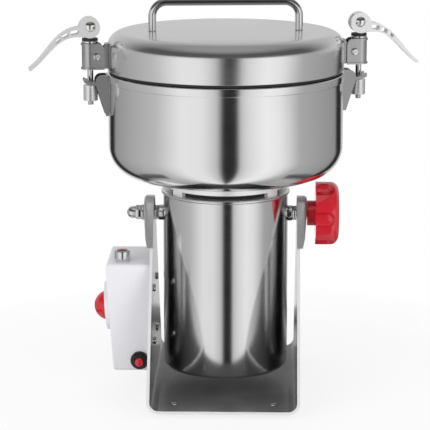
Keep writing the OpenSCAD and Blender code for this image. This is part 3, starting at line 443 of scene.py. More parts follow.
def cast(name, color, rough, metallic, depth=0.00003, pits=0.06):
    """Cast or coated metal: a fine orange-peel skin with slightly darker hollows."""
    shade = Shade(name, color, rough, Metallic=metallic)
    skin = shade.noise(shade.place, 900.0, 3.0, 0.6)
    cloud = shade.noise(shade.place, 30.0, 3.0)
    shade.feed(
        Base_Color=shade.mixed(
            (skin * 0.6 + cloud * 0.4).span(0.35, 0.65), [c * (1 - pits) for c in color], color),
        Roughness=(cloud - 0.5) * 0.12 + (skin - 0.5) * 0.1 + rough)
    shade.bump(skin, depth)
    return shade.material


def moulded(name, color, rough, coat=0.0):
    """Moulded plastic or rubber: faint flow marks, dust in the colour and a slightly uneven gloss."""
    shade = Shade(name, color, rough, Coat_Weight=coat, Coat_Roughness=0.06)
    flow = shade.noise(shade.place, 120.0, 3.0)
    dust = shade.noise(shade.place, 1500.0, 2.0)
    shade.feed(
        Base_Color=shade.mixed(flow.span(0.3, 0.8), [c * 0.9 for c in color], color),
        Roughness=(flow - 0.5) * 0.1 + (dust - 0.5) * 0.06 + rough)
    shade.bump(flow * 0.8 + dust * 0.2, 0.000012)
    return shade.material


def wound(name, color, rough):
    """Enamelled wire wound round the poles of the motor."""
    shade = Shade(name, color, rough, Metallic=0.7)
    x, y, z = shade.split(shade.place)
    radius = (x * x + y * y) ** 0.5
    turns = (radius * 5200.0).wave() * (z * 5200.0).wave()
    shade.feed(Base_Color=shade.mixed(turns.span(-1, 1), [c * 0.45 for c in color], color))
    shade.bump(turns, 0.0002)
    return shade.material


def laminated(name, color, rough):
    """A stack of thin varnished steel sheets."""
    shade = Shade(name, color, rough, Metallic=0.8)
    z = shade.split(shade.place)[2]
    sheets = (z * 12000.0).wave()
    shade.feed(Base_Color=shade.mixed(sheets.span(-1, 1), [c * 0.5 for c in color], color))
    shade.bump(sheets, 0.0001)
    return shade.material


def stand_sheet(name, color, rough):
    """Sheet of the stand, brushed from front to back. The plate between the arms is duller, rougher and less
    metallic, and its dark colour is painted shade, darkest next to the barrel. Its cut edges are pale."""
    shade = Shade(name, color, rough, Metallic=1.0)
    x, y, z = shade.split(shade.place)
    fine = shade.noise(shade.stretched(1400, 17, 1400), 1.0, 2.0, 0.6)
    cloud = shade.noise(shade.place, 22.0, 4.0, 0.55)

    bend_top, arm_foot, plate_end = 0.016, 0.073, 0.1174
    fore = y.size()
    # The top of the plate between the arms: duller and less metallic, with painted shade for its colour
    dull_shaded_plate = z.span(PLATE_TOP - 0.0003, PLATE_TOP - 0.0001) * z.span(bend_top, bend_top - 0.006)
    dull_shaded_plate = dull_shaded_plate * x.size().span(arm_foot, arm_foot - 0.0015) * fore.span(plate_end, plate_end - 0.0008)
    # Painted shade: dark grey, darkest next to the barrel under the bowl, mottled by noise
    plate_shade = shade.mixed(fore.span(0.06, 0.118), (0.09, 0.09, 0.095), (0.20, 0.20, 0.207))
    mottled_shade = shade.mixed(cloud.span(0.35, 0.7), plate_shade, (0.16, 0.16, 0.167))

    facing = shade.split(shade.node("ShaderNodeNewGeometry", output="True Normal"))[1]
    edge = facing.size().span(0.6, 0.8)
    dulled = dull_shaded_plate * 0.14 + edge * 0.2 + rough
    shade.feed(
        # Where the plate lies under the bowl, its base colour is the painted shade
        Base_Color=shade.mixed(dull_shaded_plate, (0.72, 0.72, 0.72), mottled_shade),
        Metallic=1 - dull_shaded_plate * 0.6 - edge * 0.85,
        Roughness=(fine - 0.5) * 0.1 + (cloud - 0.5) * 0.06 + dulled)
    shade.bump(fine, 0.000006)
    return shade.material


def look():
    """What the user has set for the pieces."""
    return bpy.context.scene.grain_mill_look


# What makes each finish, its colour (a grey, a triple, or the setting that holds it), its roughness, and what
# else it is made with
MAKERS = {
    "bowl_steel": (steel, "steel", 0.13),
    "barrel_steel": (steel, (0.80, 0.79, 0.79), 0.14),
    "lid_steel": (steel, (0.86, 0.86, 0.865), 0.2, {"lines": 1100.0, "line_depth": 0.000012}),
    "stand_steel": (stand_sheet, 0.66, 0.2),
    "pin_steel": (steel, (0.88, 0.86, 0.84), 0.07, {"smear": 0.05}),
    # Painted reflection: the neck's near-white, barely metallic colour stands in for the bright light that its
    # steel mirrors
    "neck_steel": (cast, 0.98, 0.16, {"metallic": 0.25, "depth": 0.000004, "pits": 0.02}),
    "handle_steel": (steel, 0.76, 0.1, {"grain": "x"}),
    "bright_metal": (steel, 0.78, 0.12, {"grain": "z", "smear": 0.1}),
    "cast_metal": (cast, 0.66, 0.3, {"metallic": 0.75}),
    "lever_metal": (cast, (0.86, 0.86, 0.87), 0.3, {"metallic": 0.6, "depth": 0.00002}),
    "clamp_steel": (steel, (0.56, 0.56, 0.565), 0.3, {"grain": "z", "lines": 900.0, "smear": 0.12}),
    "bracket_steel": (steel, (0.42, 0.42, 0.43), 0.24, {"grain": "z", "smear": 0.14}),
    "nut_metal": (cast, 0.80, 0.26, {"metallic": 0.8, "depth": 0.00002}),
    "box_paint": (cast, "paint", 0.36, {"metallic": 0.2, "depth": 0.000012}),
    "red_plastic": (moulded, "red", 0.2, {"coat": 0.6}),
    "lens": (moulded, (0.16, 0.004, 0.006), 0.1, {"coat": 1.0}),
    "black_plastic": (moulded, 0.018, 0.35),
    "rubber": (moulded, 0.02, 0.6),
    "rotor_steel": (steel, (0.6, 0.6, 0.61), 0.25),
    "blade_steel": (steel, 0.68, 0.2, {"grain": "x"}),
    "lamination": (laminated, (0.3, 0.31, 0.32), 0.45),
    "copper": (wound, (0.6, 0.25, 0.1), 0.35),
    "carbon": (moulded, 0.03, 0.5),
    "brass": (steel, (0.75, 0.55, 0.22), 0.25, {"grain": "z"}),
}

# Material of each finish, made when it is first asked for
FINISHED = {}


def finish_of(name):
    """The material of a finish, made when it is first asked for."""
    if name not in FINISHED:
        maker, color, rough, *more = MAKERS[name]
        if isinstance(color, str):
            color = getattr(look(), color)
        elif isinstance(color, float):
            color = (color,) * 3
        FINISHED[name] = maker(name, color, rough, **dict(*more))
    return FINISHED[name]


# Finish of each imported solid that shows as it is
PLAIN = {
    "cast_metal": ("upper_shield", "lower_shield"),
    "rotor_steel": ("bearings", "rotor_shaft", "seal_housing", "blade_spacers", "vent_cover"),
    "blade_steel": ("blades",),
    "lamination": ("stator", "armature"),
    "copper": ("field_windings", "commutator"),
    "carbon": ("brushes",),
    "brass": ("brush_holders", "knob_insert"),
    "bright_metal": ("brush_springs", "blade_nut", "mill_screws"),
    "rubber": ("shaft_seal",),
    "black_plastic": ("cooling_fan",),
}


def floor_paper(radius):
    """White paper that keeps the mill's shadow and fades out at its rim. In the steel it shows as a painted
    reflection, mid grey near the mill and dark farther out, but for a gap towards the front."""
    white, dark = (0.9, 0.9, 0.9), (0.07, 0.07, 0.07)
    shade = Shade("floor_paper", white, 0.9)
    x, y, z = shade.split(shade.place)
    camera, mirrored = shade.rays("Is Camera Ray", "Is Glossy Ray")
    off = (x * x + y * y) ** 0.5

    gap = ((x - 0.02).size() + y * 2.4).span(0.0, -0.02)
    hidden = gap.larger(off.span(radius * 0.7, radius * 0.78))
    faded = off.span(radius * 0.6, radius).larger(mirrored * hidden)
    # Painted reflection: the colour that only glossy rays see on the paper, mid grey near the mill and dark
    # beyond
    image = shade.mixed(off.span(0.2, 0.25), (0.5, 0.5, 0.5), dark)
    shade.feed(Base_Color=shade.mixed(mirrored, white, image))
    shade.bump(shade.noise(shade.place, 400.0, 2.0), 0.00002)

    glow = shade.node("ShaderNodeEmission", {}, {"Color": (1, 1, 1, 1), "Strength": 1.0})
    clear = shade.node("ShaderNodeBsdfTransparent")
    paper = Signal(shade, shade.shader.outputs[0])
    lit = shade.node("ShaderNodeMixShader", {}, {0: camera * 0.8, 1: paper, 2: glow})
    whole = shade.node("ShaderNodeMixShader", {}, {0: faded, 1: lit, 2: clear})
    shade.tree.links.new(whole.socket, shade.tree.nodes["Material Output"].inputs["Surface"])
    return shade.material


# Grey of the light tent against the angle round the mill: 0 and 1 lie behind it, and 0.5 in front
TENT = (
    (0.0, 0.7), (0.055, 0.6), (0.068, 0.02), (0.105, 0.02), (0.12, 0.3), (0.28, 0.45),
    (0.34, 0.9), (0.385, 1.0), (0.435, 0.8), (0.458, 0.6), (0.466, 0.015), (0.505, 0.015),
    (0.52, 0.6), (0.56, 0.88), (0.62, 0.92), (0.70, 0.55), (0.88, 0.32), (0.895, 0.02),
    (0.932, 0.02), (0.945, 0.6), (1.0, 0.7))


def light_tent(scene):
    """World: white for the camera. The metal mirrors a wall with dark gaps, a pale back and a dark roof."""
    band, roof, pale, plain, white = ((grey,) * 3 for grey in (0.09, 0.32, 0.62, 0.72, 1.0))
    world = bpy.data.worlds.new("light_tent")
    world.use_nodes = True
    scene.world = world
    shade = Tree(world.node_tree)
    x, y, z = shade.split(shade.node("ShaderNodeTexCoord", output="Generated"))

    round_mill = (x.bearing(y) / (2 * pi) + 1.0).fraction()
    wall = shade.node("ShaderNodeValToRGB", {"stops": TENT}, {"Fac": round_mill})
    front = shade.mixed(z.span(0.25, 0.36), wall, band)
    front = shade.mixed(z.span(0.7, 0.95), front, roof)
    back = shade.mixed(z.span(0.2, 0.95), pale, roof)
    high = shade.mixed(y.span(0.1, 0.7), front, back)
    tent = shade.mixed(z.span(-0.05, 0.08), wall, high)

    camera, diffuse, clear = shade.rays("Is Camera Ray", "Is Diffuse Ray", "Is Transmission Ray")
    light = shade.mixed(diffuse, tent, plain)
    light = shade.mixed(camera.larger(clear), light, white)
    shade.tree.links.new(light.socket, shade.tree.nodes["Background"].inputs["Color"])


# What a user would change

class GrainMillLook(bpy.types.PropertyGroup):
    """Colours and small forms of the pieces"""
    steel: FloatVectorProperty(
        name="Steel", description="Colour of the polished bowl", default=(0.86, 0.855, 0.86),
        size=3, min=0, max=1, subtype="COLOR")
    paint: FloatVectorProperty(
        name="Box paint", description="Colour of the silver control box", default=(0.88, 0.88, 0.915),
        size=3, min=0, max=1, subtype="COLOR")
    red: FloatVectorProperty(
        name="Red parts", description="Colour of the knob and the buttons", default=(0.62, 0.011, 0.026),
        size=3, min=0, max=1, subtype="COLOR")
    softness: FloatProperty(
        name="Edge softness", description="Rounding of the edges of cast and sheet pieces, as a share",
        default=1.0, min=0.1, max=1.5, subtype="FACTOR")
    dome: FloatProperty(
        name="Button dome", description="How far the power button stands out of its boss", default=0.0125,
        min=0.004, max=0.015, unit="LENGTH")
    pilot: FloatProperty(
        name="Pilot light", description="Height of the pilot light over the box", default=0.0112, min=0.004,
        max=0.015, unit="LENGTH")
    opening: FloatProperty(
        name="Neck openings", description="Height of the openings under the bowl", default=0.0044, min=0.001,
        max=0.010, unit="LENGTH")


class GrainMillStudio(bpy.types.PropertyGroup):
    """Camera and lamps"""
    lens: FloatProperty(
        name="Lens", description="Focal length of the camera, in millimetres", default=159, min=20, max=400)
    camera_place: FloatVectorProperty(
        name="Camera place", description="Where the camera stands", default=(0.036, -1.922, 0.612), size=3,
        subtype="TRANSLATION", unit="LENGTH")
    camera_pitch: FloatProperty(
        name="Look down", description="Angle below the horizon at which the camera looks",
        default=radians(12.6), subtype="ANGLE")
    camera_yaw: FloatProperty(
        name="Look left", description="Angle by which the camera looks to the left", default=radians(1.4),
        subtype="ANGLE")
    lamps: FloatProperty(
        name="Lamps", description="Power of each soft lamp, in watts", default=19.0, min=0, max=200)


# Pieces

def cap(radius, height, base, steps=12):
    """Points of a round cap from its rim up to its pole."""
    ball = (radius * radius + height * height) / (2 * height)
    reach = asin(radius / ball)
    angles = [reach * (1 - i / steps) for i in range(steps + 1)]
    return [(ball * sin(angle), base + height - ball + ball * cos(angle)) for angle in angles]


def recess_outline(radius, recess):
    """Outline of the cross or slot sunk into the head of a screw."""
    slim = radius * 0.13
    if recess == "slot":
        long = radius * 0.66
        return [(-long, -slim), (long, -slim), (long, slim), (-long, slim)]
    long, corner = radius * 0.58, slim * 1.4
    outline = []
    for i in range(4):
        quarter = turn(90 * i, "Z")
        for x, y in ((long, -slim), (long, slim), (corner, corner)):
            outline.append(tuple((quarter @ Vector((x, y, 0)))[:2]))
    return outline


def screw_head(radius, height, recess="cross"):
    """Screw head on the plane z = 0, with a recess sunk into its top."""
    crown, shoulder = radius * 0.72, radius * 0.93
    bm = turned([(crown, height), (shoulder, height * 0.8), (radius, height * 0.5), (radius, 0), (0, 0)], 36)
    sunk = [bm.verts.new((x, y, height)) for x, y in recess_outline(radius, recess)]
    ring = [bm.edges.new(pair) for pair in zip(sunk, sunk[1:] + sunk[:1])]
    rim = [
        edge for edge in bm.edges if edge.is_boundary and edge not in ring
        and all(abs(vert.co.z - height) < NEAR for vert in edge.verts)]
    bmesh.ops.triangle_fill(bm, use_beauty=True, use_dissolve=False, edges=rim + ring, normal=(0, 0, 1))
    walls = bmesh.ops.extrude_edge_only(bm, edges=ring)["geom"]
    low = [part for part in walls if isinstance(part, bmesh.types.BMVert)]
    floor = [
        part for part in walls
        if isinstance(part, bmesh.types.BMEdge) and all(vert in low for vert in part.verts)]
    bmesh.ops.translate(bm, vec=(0, 0, -height * 0.7), verts=low)
    bmesh.ops.scale(bm, vec=(0.8, 0.8, 1), verts=low)
    bmesh.ops.contextual_create(bm, geom=floor)
    return join(bm, NEARER)


def hexagon(across, height):
    """Six-sided body of a nut, standing on z = 0, with the edges of both its faces rounded."""
    sides, rounding = 6, 0.0004
    radius = across / 2 / cos(pi / sides)
    bm = bmesh.new()
    angles = [2 * pi * i / sides for i in range(sides)]
    face = bm.faces.new([bm.verts.new((radius * cos(angle), radius * sin(angle), 0)) for angle in angles])
    raised = bmesh.ops.extrude_face_region(bm, geom=[face])
    top = [part for part in raised["geom"] if isinstance(part, bmesh.types.BMVert)]
    bmesh.ops.translate(bm, vec=(0, 0, height), verts=top)
    join(bm, NEARER)
    rims = [edge for edge in bm.edges if abs(edge.verts[0].co.z - edge.verts[1].co.z) < height / 2]
    bmesh.ops.bevel(
        bm, geom=rims, offset=rounding, offset_type="OFFSET", segments=3, profile=0.5, affect="EDGES",
        material=-1, clamp_overlap=True)
    return join(bm, NEARER)


def bar(radius, start, steps, sides=32):
    """A bar that starts along z. A step is a vector for a straight run, or (centre, axis, angle) for a
    bend."""
    bm = bmesh.new()
    bmesh.ops.create_circle(bm, cap_ends=True, radius=radius, segments=sides, matrix=at(*start))
    end = bm.faces[:][0]
    for step in steps:
        if isinstance(step[0], tuple):
            centre, axis, angle = step
            made = bmesh.ops.spin(
                bm, geom=[end, *end.edges, *end.verts], cent=centre, axis=axis, angle=radians(angle),
                steps=16, use_merge=False)["geom_last"]
        else:
            made = bmesh.ops.extrude_face_region(bm, geom=[end])["geom"]
            verts = [part for part in made if isinstance(part, bmesh.types.BMVert)]
            bmesh.ops.translate(bm, vec=step, verts=verts)
        end = [part for part in made if isinstance(part, bmesh.types.BMFace)][0]
    return join(bm, NEARER)


class GrainMillPiece:
    """What the operators share. The build of each makes its pieces."""
    bl_options = {"REGISTER", "UNDO"}

    @classmethod
    def poll(cls, context):
        return context.scene is not None

    def execute(self, context):
        self.build()
        return {"FINISHED"}


def pivot_block(side):
    """Cast block of a pivot: a copy of its solid that thins downwards, with its outer edge well rounded."""
    thinning, level, rounding, bore = 0.06, 0.008, 0.0034, 0.006
    node = "pivot_block_" + side
    bm = merged(node)
    foot = foot_of(node)
    outer = [vert for vert in bm.verts if abs(vert.co.x) > BLOCK_FACE - 0.0005]
    for vert in outer:
        fall = max(0.0, AXIS_Z - level - vert.co.z) / (AXIS_Z - foot)
        vert.co.x *= 1 - thinning * fall
    rims = [
        edge for edge in bm.edges if all(vert in outer for vert in edge.verts)
        and edge.calc_face_angle(0) > radians(30)
        and (edge.verts[0].co.yz - Vector((0, AXIS_Z))).length > bore]
    bmesh.ops.bevel(
        bm, geom=rims, offset=rounding, offset_type="OFFSET", segments=6, profile=0.5, affect="EDGES",
        material=-1, clamp_overlap=False)
    piece(node + "_dressed", join(bm, NEARER), "base", "cast_metal", [node], 40)


class GRAINMILL_OT_stand(GrainMillPiece, bpy.types.Operator):
    """Bent stand with its cast pivot blocks, rubber feet and screws"""
    bl_idname = "grainmill.stand"
    bl_label = "Stand"

    def build(self):
        softened("base_frame", "stand_steel", 0.0004, 3)
        for side in ("left", "right"):
            pivot_block(side)

        feet, heads = bmesh.new(), bmesh.new()
        low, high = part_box("rubber_feet")
        foot_r, foot_h, hollow = 0.0075, high.z, 0.0006
        for x in (low.x + foot_r, high.x - foot_r):
            for y in (low.y + foot_r, high.y - foot_r):
                rubber_foot = turned([
                    (0, hollow), (foot_r * 0.45, hollow), (foot_r * 0.5, 0), (foot_r, 0, foot_h * 0.5),
                    (foot_r, foot_h, 0.0003), (0, foot_h)], 48)
                added(feet, moved(rubber_foot, at(x, y, 0)))
                added(heads, moved(screw_head(0.0031, 0.0016), at(x, y, PLATE_TOP)))

        box_screw_y, box_foot = 0.0252, foot_of("control_box")
        for y in (-box_screw_y, box_screw_y):
            for share in (0.25, 0.75):
                place = at(-ARM_IN, y, box_foot + BOX_H * share) @ ALONG_X
                added(heads, moved(screw_head(0.004, 0.0022), place))
        piece("feet", feet, "base", "rubber", ["rubber_feet"])
        piece("stand_screws", heads, "base", "bright_metal", ["base_screws"])


def on_power_face():
    """Place of the power switch, z out of the sloping side of the box."""
    foot_w, top_w, share = 0.038, 0.0456, 0.526
    lean = degrees(atan((top_w - foot_w) / BOX_H))
    x = ARM_OUT + foot_w + (top_w - foot_w) * share
    return at(-x, 0, foot_of("control_box") + BOX_H * share) @ turn(-90 - lean, "Y")


class GRAINMILL_OT_control_box(GrainMillPiece, bpy.types.Operator):
    """Painted control box with its power button, pilot light, breaker and cable gland"""
    bl_idname = "grainmill.control_box"
    bl_label = "Control Box"

    def build(self):
        softened("control_box", "box_paint", 0.0014, 4)
        self.power_switch()
        self.pilot_light()
        self.breaker()
        self.gland()

    def power_switch(self):
        place = on_power_face()
        boss_r, boss_h, button_r, skirt, inside = 0.0254, 0.0062, 0.0155, 0.002, -0.004
        chamfer = 0.0012
        bore_r = button_r + APART
        boss = turned([
            (bore_r, 0), (boss_r, 0), (boss_r, boss_h, 0.0012), (button_r + chamfer, boss_h, 0.0008),
            (bore_r, boss_h - chamfer)], 96, closed=True)
        piece("switch_boss", moved(boss, place), "base", "box_paint", ["button_boss"])
        dome = turned([
            (0, inside), (button_r * 1.08, inside), (button_r * 1.08, inside + skirt),
            (button_r, inside + skirt), *cap(button_r, look().dome, boss_h, 16)], 96)
        piece("power_dome", moved(dome, place), "power_button", "red_plastic", ["power_button"])

    def pilot_light(self):
        middle = middle_of("pilot_bezel")
        place = at(middle.x, middle.y, foot_of("pilot_bezel"))
        ring_r, ring_h, lens_r, lip = 0.0080, look().pilot, 0.0054, 0.0008
        ring = turned([
            (lens_r, 0), (ring_r, 0, 0.0003), (ring_r, ring_h, 0.0013), (lens_r + lip, ring_h, 0.0004),
            (lens_r, ring_h - lip)], 64, closed=True)
        piece("pilot_ring", moved(ring, place), "base", "bright_metal", ["pilot_bezel"])
        seat_r, inside, bulge = lens_r - 0.00005, -0.004, 0.0011
        lens = turned([(0, inside), (seat_r, inside), *cap(seat_r, bulge, ring_h, 8)], 48)
        piece("pilot_lamp", moved(lens, place), "base", "lens", ["pilot_lens"])

    def breaker(self):
        low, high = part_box("breaker_ring")
        middle = middle_of("breaker_ring")
        place = at(middle.x, high.y, middle.z) @ turn(90, "X")
        ring_r = (high.x - low.x) / 2
        button_r, step_h, top_r, inside = ring_r * 0.46, ring_r * 0.34, ring_r * 0.72, -0.006
        bore_r = button_r + APART
        collar = turned([
            (bore_r, 0), (ring_r, 0), (ring_r, step_h, 0.0009), (ring_r * 0.78, step_h, 0.0003),
            (top_r, step_h), (top_r, step_h * 2, 0.0006), (bore_r, step_h * 2, 0.0003)], 64, closed=True)
        piece("breaker_collar", moved(collar, place), "base", "black_plastic", ["breaker_ring"])
        out = high.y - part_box("breaker_button")[0].y
        button = turned([(0, inside), (button_r, inside), (button_r, out, button_r * 0.35), (0, out)], 48)
        piece("breaker_cap", moved(button, place), "breaker_button", "red_plastic", ["breaker_button"])

    def gland(self):
        low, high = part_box("cable_gland")
        middle = middle_of("cable_gland")
        place = at(middle.x, low.y, middle.z) @ ALONG_Y
        gland_r, length, bore_r = 0.008, high.y - low.y, 0.004
        collar_r, nut_r, nut_h, nut_bore = gland_r * 0.85, gland_r * 1.12, length * 0.35, bore_r + 0.001
        body = added(
            turned([(bore_r, 0), (collar_r, 0), (collar_r, length * 0.7), (gland_r * 0.65, length, 0.0006),
                    (bore_r, length, 0.0003)], 64, closed=True),
            turned([(nut_bore, 0), (nut_r, 0), (nut_r, nut_h, 0.0006), (nut_bore, nut_h)], 6, closed=True))
        piece("gland", moved(body, place), "base", "black_plastic", ["cable_gland"], 30)


def neck_bridge(inner, low, high, angle):
    """A short wall of the neck between two of its openings, up to high."""
    width, steps = 15, 8
    bm = line([(inner, low), (NECK_R, low), (NECK_R, high), (inner, high)], closed=True)
    bmesh.ops.contextual_create(bm, geom=bm.edges[:])
    start = Matrix.Rotation(radians(angle - width / 2), 3, "Z")
    bmesh.ops.rotate(bm, cent=(0, 0, 0), matrix=start, verts=bm.verts)
    bmesh.ops.spin(
        bm, geom=bm.faces[:], cent=(0, 0, 0), axis=(0, 0, 1), angle=radians(width), steps=steps,
        use_merge=False)
    return join(bm)


class GRAINMILL_OT_barrel(GrainMillPiece, bpy.types.Operator):
    """Motor barrel with its rolled bead, and the ring with its openings under the bowl"""
    bl_idname = "grainmill.barrel"
    bl_label = "Motor Barrel"

    def build(self):
        low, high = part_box("vent_cover")
        open_r = (high.x - low.x) / 2 - 0.008
        inner, floor = BARREL_R - BARREL_WALL, BARREL_Z + BARREL_WALL
        bead_z, bead_round = BARREL_TOP - BEAD_H, 0.0013
        shell = turned([
            (open_r, BARREL_Z), (BARREL_R, BARREL_Z, BARREL_CORNER), (BARREL_R, bead_z, 0.0006),
            (BEAD_R, bead_z, bead_round), (BEAD_R, BARREL_TOP, bead_round), (inner, BARREL_TOP, 0.0005),
            (inner, floor, BARREL_CORNER - BARREL_WALL), (open_r, floor)], 192, closed=True)
        piece("barrel", shell, "mill", "barrel_steel", ["motor_barrel"])

        neck_in, opening_top, overlap = NECK_R - NECK_WALL, BARREL_TOP + look().opening, 0.0002
        neck = tube(neck_in, NECK_R, opening_top, NECK_TOP, 0.0003, 0.0004, 192)
        for angle in (37, 143, 217, 323):
            added(neck, neck_bridge(neck_in, BARREL_TOP, opening_top + overlap, angle))
        piece("neck", neck, "mill", "neck_steel", ["neck_ring"])
        # Painted shade: a black rubber ring set just inside the neck, behind its openings, so that they show
        # dark where there is only shade inside
        backing_out, backing_in, backing_top, soft = neck_in - 0.0003, neck_in - 0.0025, opening_top + 0.002, 0.0003
        shade_backing = tube(backing_in, backing_out, BARREL_TOP, backing_top, soft, soft, 128)
        piece("neck_seal", shade_backing, "mill", "rubber")


class GRAINMILL_OT_bowl(GrainMillPiece, bpy.types.Operator):
    """Deep drawn bowl with its rim band and the fork brackets of the clamps"""
    bl_idname = "grainmill.bowl"
    bl_label = "Bowl"

    def build(self):
        inner, floor, rim_z, lip = BOWL_R - BOWL_WALL, NECK_TOP + BOWL_WALL, BOWL_TOP - RIM_H, 0.0009
        shell = turned([
            (SEAL_R, NECK_TOP), (BOWL_R, NECK_TOP, BOWL_CORNER), (BOWL_R, rim_z, 0.0004),
            (RIM_R, rim_z, 0.0005), (RIM_R, BOWL_TOP, lip), (inner, BOWL_TOP, lip),
            (inner, floor, BOWL_CORNER - BOWL_WALL), (SEAL_R, floor)], 256, closed=True)
        piece("bowl_shell", shell, "mill", "bowl_steel", ["bowl"])
        for side in ("left", "right"):
            softened("bowl_bracket_" + side, "bracket_steel", 0.0005, 3)


class GRAINMILL_OT_pivots(GrainMillPiece, bpy.types.Operator):
    """Studs, pads, washers and nuts on which the barrel tilts"""
    bl_idname = "grainmill.pivots"
    bl_label = "Pivots"

    def build(self):
        stud_r, pitch, thread, head_r, head_h = 0.004, 0.00125, 0.0006, 0.008, 0.003
        across, nut_h, pad_h, washer_h = 0.013, 0.0041, 0.0048, 0.0028
        washer_r = across * 0.62
        inner_x = BARREL_R - BARREL_WALL - 0.004
        low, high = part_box("pivot_studs")
        left, right = MIRROR_X, Matrix.Identity(4)

        studs, nuts, pads = bmesh.new(), bmesh.new(), bmesh.new()
        for side, reach in ((left, -low.x), (right, high.x)):
            on_axis = side @ at(inner_x, 0, AXIS_Z) @ ALONG_X
            head = turned([(0, 0), (head_r, 0, 0.0004), (head_r, head_h, 0.0004), (0, head_h)], 48)
            added(studs, moved(head, on_axis))
            added(studs, moved(helix(stud_r, pitch, reach - inner_x, thread), on_axis))
            added(nuts, moved(hexagon(across, nut_h), side @ at(BARREL_R + pad_h, 0, AXIS_Z) @ ALONG_X))
            pad = turned([
                (stud_r, 0), (washer_r, 0), (washer_r, pad_h - 0.0006, 0.0005),
                (washer_r * 0.9, pad_h, 0.0004), (stud_r, pad_h)], 64, closed=True)
            added(pads, moved(pad, side @ at(BARREL_R, 0, AXIS_Z) @ ALONG_X))

        washer_x = BLOCK_FACE + APART
        acorn_x = washer_x + washer_h
        dome_r, acorn_l = across * 0.48, -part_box("pivot_nuts")[0].x - acorn_x
        on_washer = left @ at(acorn_x, 0, AXIS_Z) @ ALONG_X
        dome = turned([(0, 0), (dome_r, 0), *cap(dome_r, dome_r * 0.98, acorn_l - dome_r, 14)], 64)
        added(nuts, moved(hexagon(across, across * 0.45), on_washer), moved(dome, on_washer))
        washer = tube(stud_r, washer_r, 0, washer_h, 0.0004, 0.0006)
        added(pads, moved(washer, left @ at(washer_x, 0, AXIS_Z) @ ALONG_X))
        piece("studs", studs, "mill", "bright_metal", ["pivot_studs"])
        piece("nuts", nuts, "mill", "bright_metal", ["pivot_nuts"])
        piece("pads", pads, "mill", "bright_metal", ["pivot_washers"])


class GRAINMILL_OT_lid(GrainMillPiece, bpy.types.Operator):
    """Lid with its gasket, welded handle and the ears that carry the clamps"""
    bl_idname = "grainmill.lid"
    bl_label = "Lid"

    def build(self):
        inner, ceiling, flange_top, soft = LID_R - LID_WALL, LID_TOP - LID_WALL, LID_Z + LID_WALL, 0.0004
        flange_in = inner - LID_WALL * 3
        shell = turned([
            (0, LID_TOP), (LID_R, LID_TOP, LID_CORNER), (LID_R, LID_Z, 0.0008), (flange_in, LID_Z, soft),
            (flange_in, flange_top, soft), (inner, flange_top), (inner, ceiling, LID_CORNER - LID_WALL),
            (0, ceiling)], 256)
        piece("lid_cover", shell, "lid", "lid_steel", ["lid_shell"])

        low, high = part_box("lid_gasket")
        gasket_in, gasket_round = high.x - 0.006, 0.0006
        gasket = turned([
            (high.x, low.z, gasket_round), (high.x, high.z, gasket_round), (gasket_in, high.z, gasket_round),
            (gasket_in, low.z, gasket_round)], 192, closed=True)
        piece("seal_ring", gasket, "lid", "rubber", ["lid_gasket"])
        softened("lid_ears", "bracket_steel", 0.0003, 2)

        rod_r, bend, width, skew = 0.004, 0.0145, 0.157, 4.5
        half = width / 2 - rod_r
        bar_z = top_of("lid_handle") - rod_r
        leg = bar_z - bend - LID_TOP
        bends = [((x, 0, bar_z - bend), (0, 1, 0), 90) for x in (bend - half, half - bend)]
        handle = bar(rod_r, (-half, 0, LID_TOP), [
            (0, 0, leg), bends[0], (2 * (half - bend), 0, 0), bends[1], (0, 0, -leg)])
        for x in (-half, half):
            weld = turned([
                (0, 0), (rod_r * 1.22, 0, 0.0002), (rod_r * 1.05, rod_r * 0.16, 0.0003),
                (rod_r * 0.9, rod_r * 0.3), (0, rod_r * 0.3)], 48)
            added(handle, moved(weld, at(x, 0, LID_TOP)))
        piece("handle", moved(handle, turn(skew, "Z")), "lid", "handle_steel", ["lid_handle"], 60)


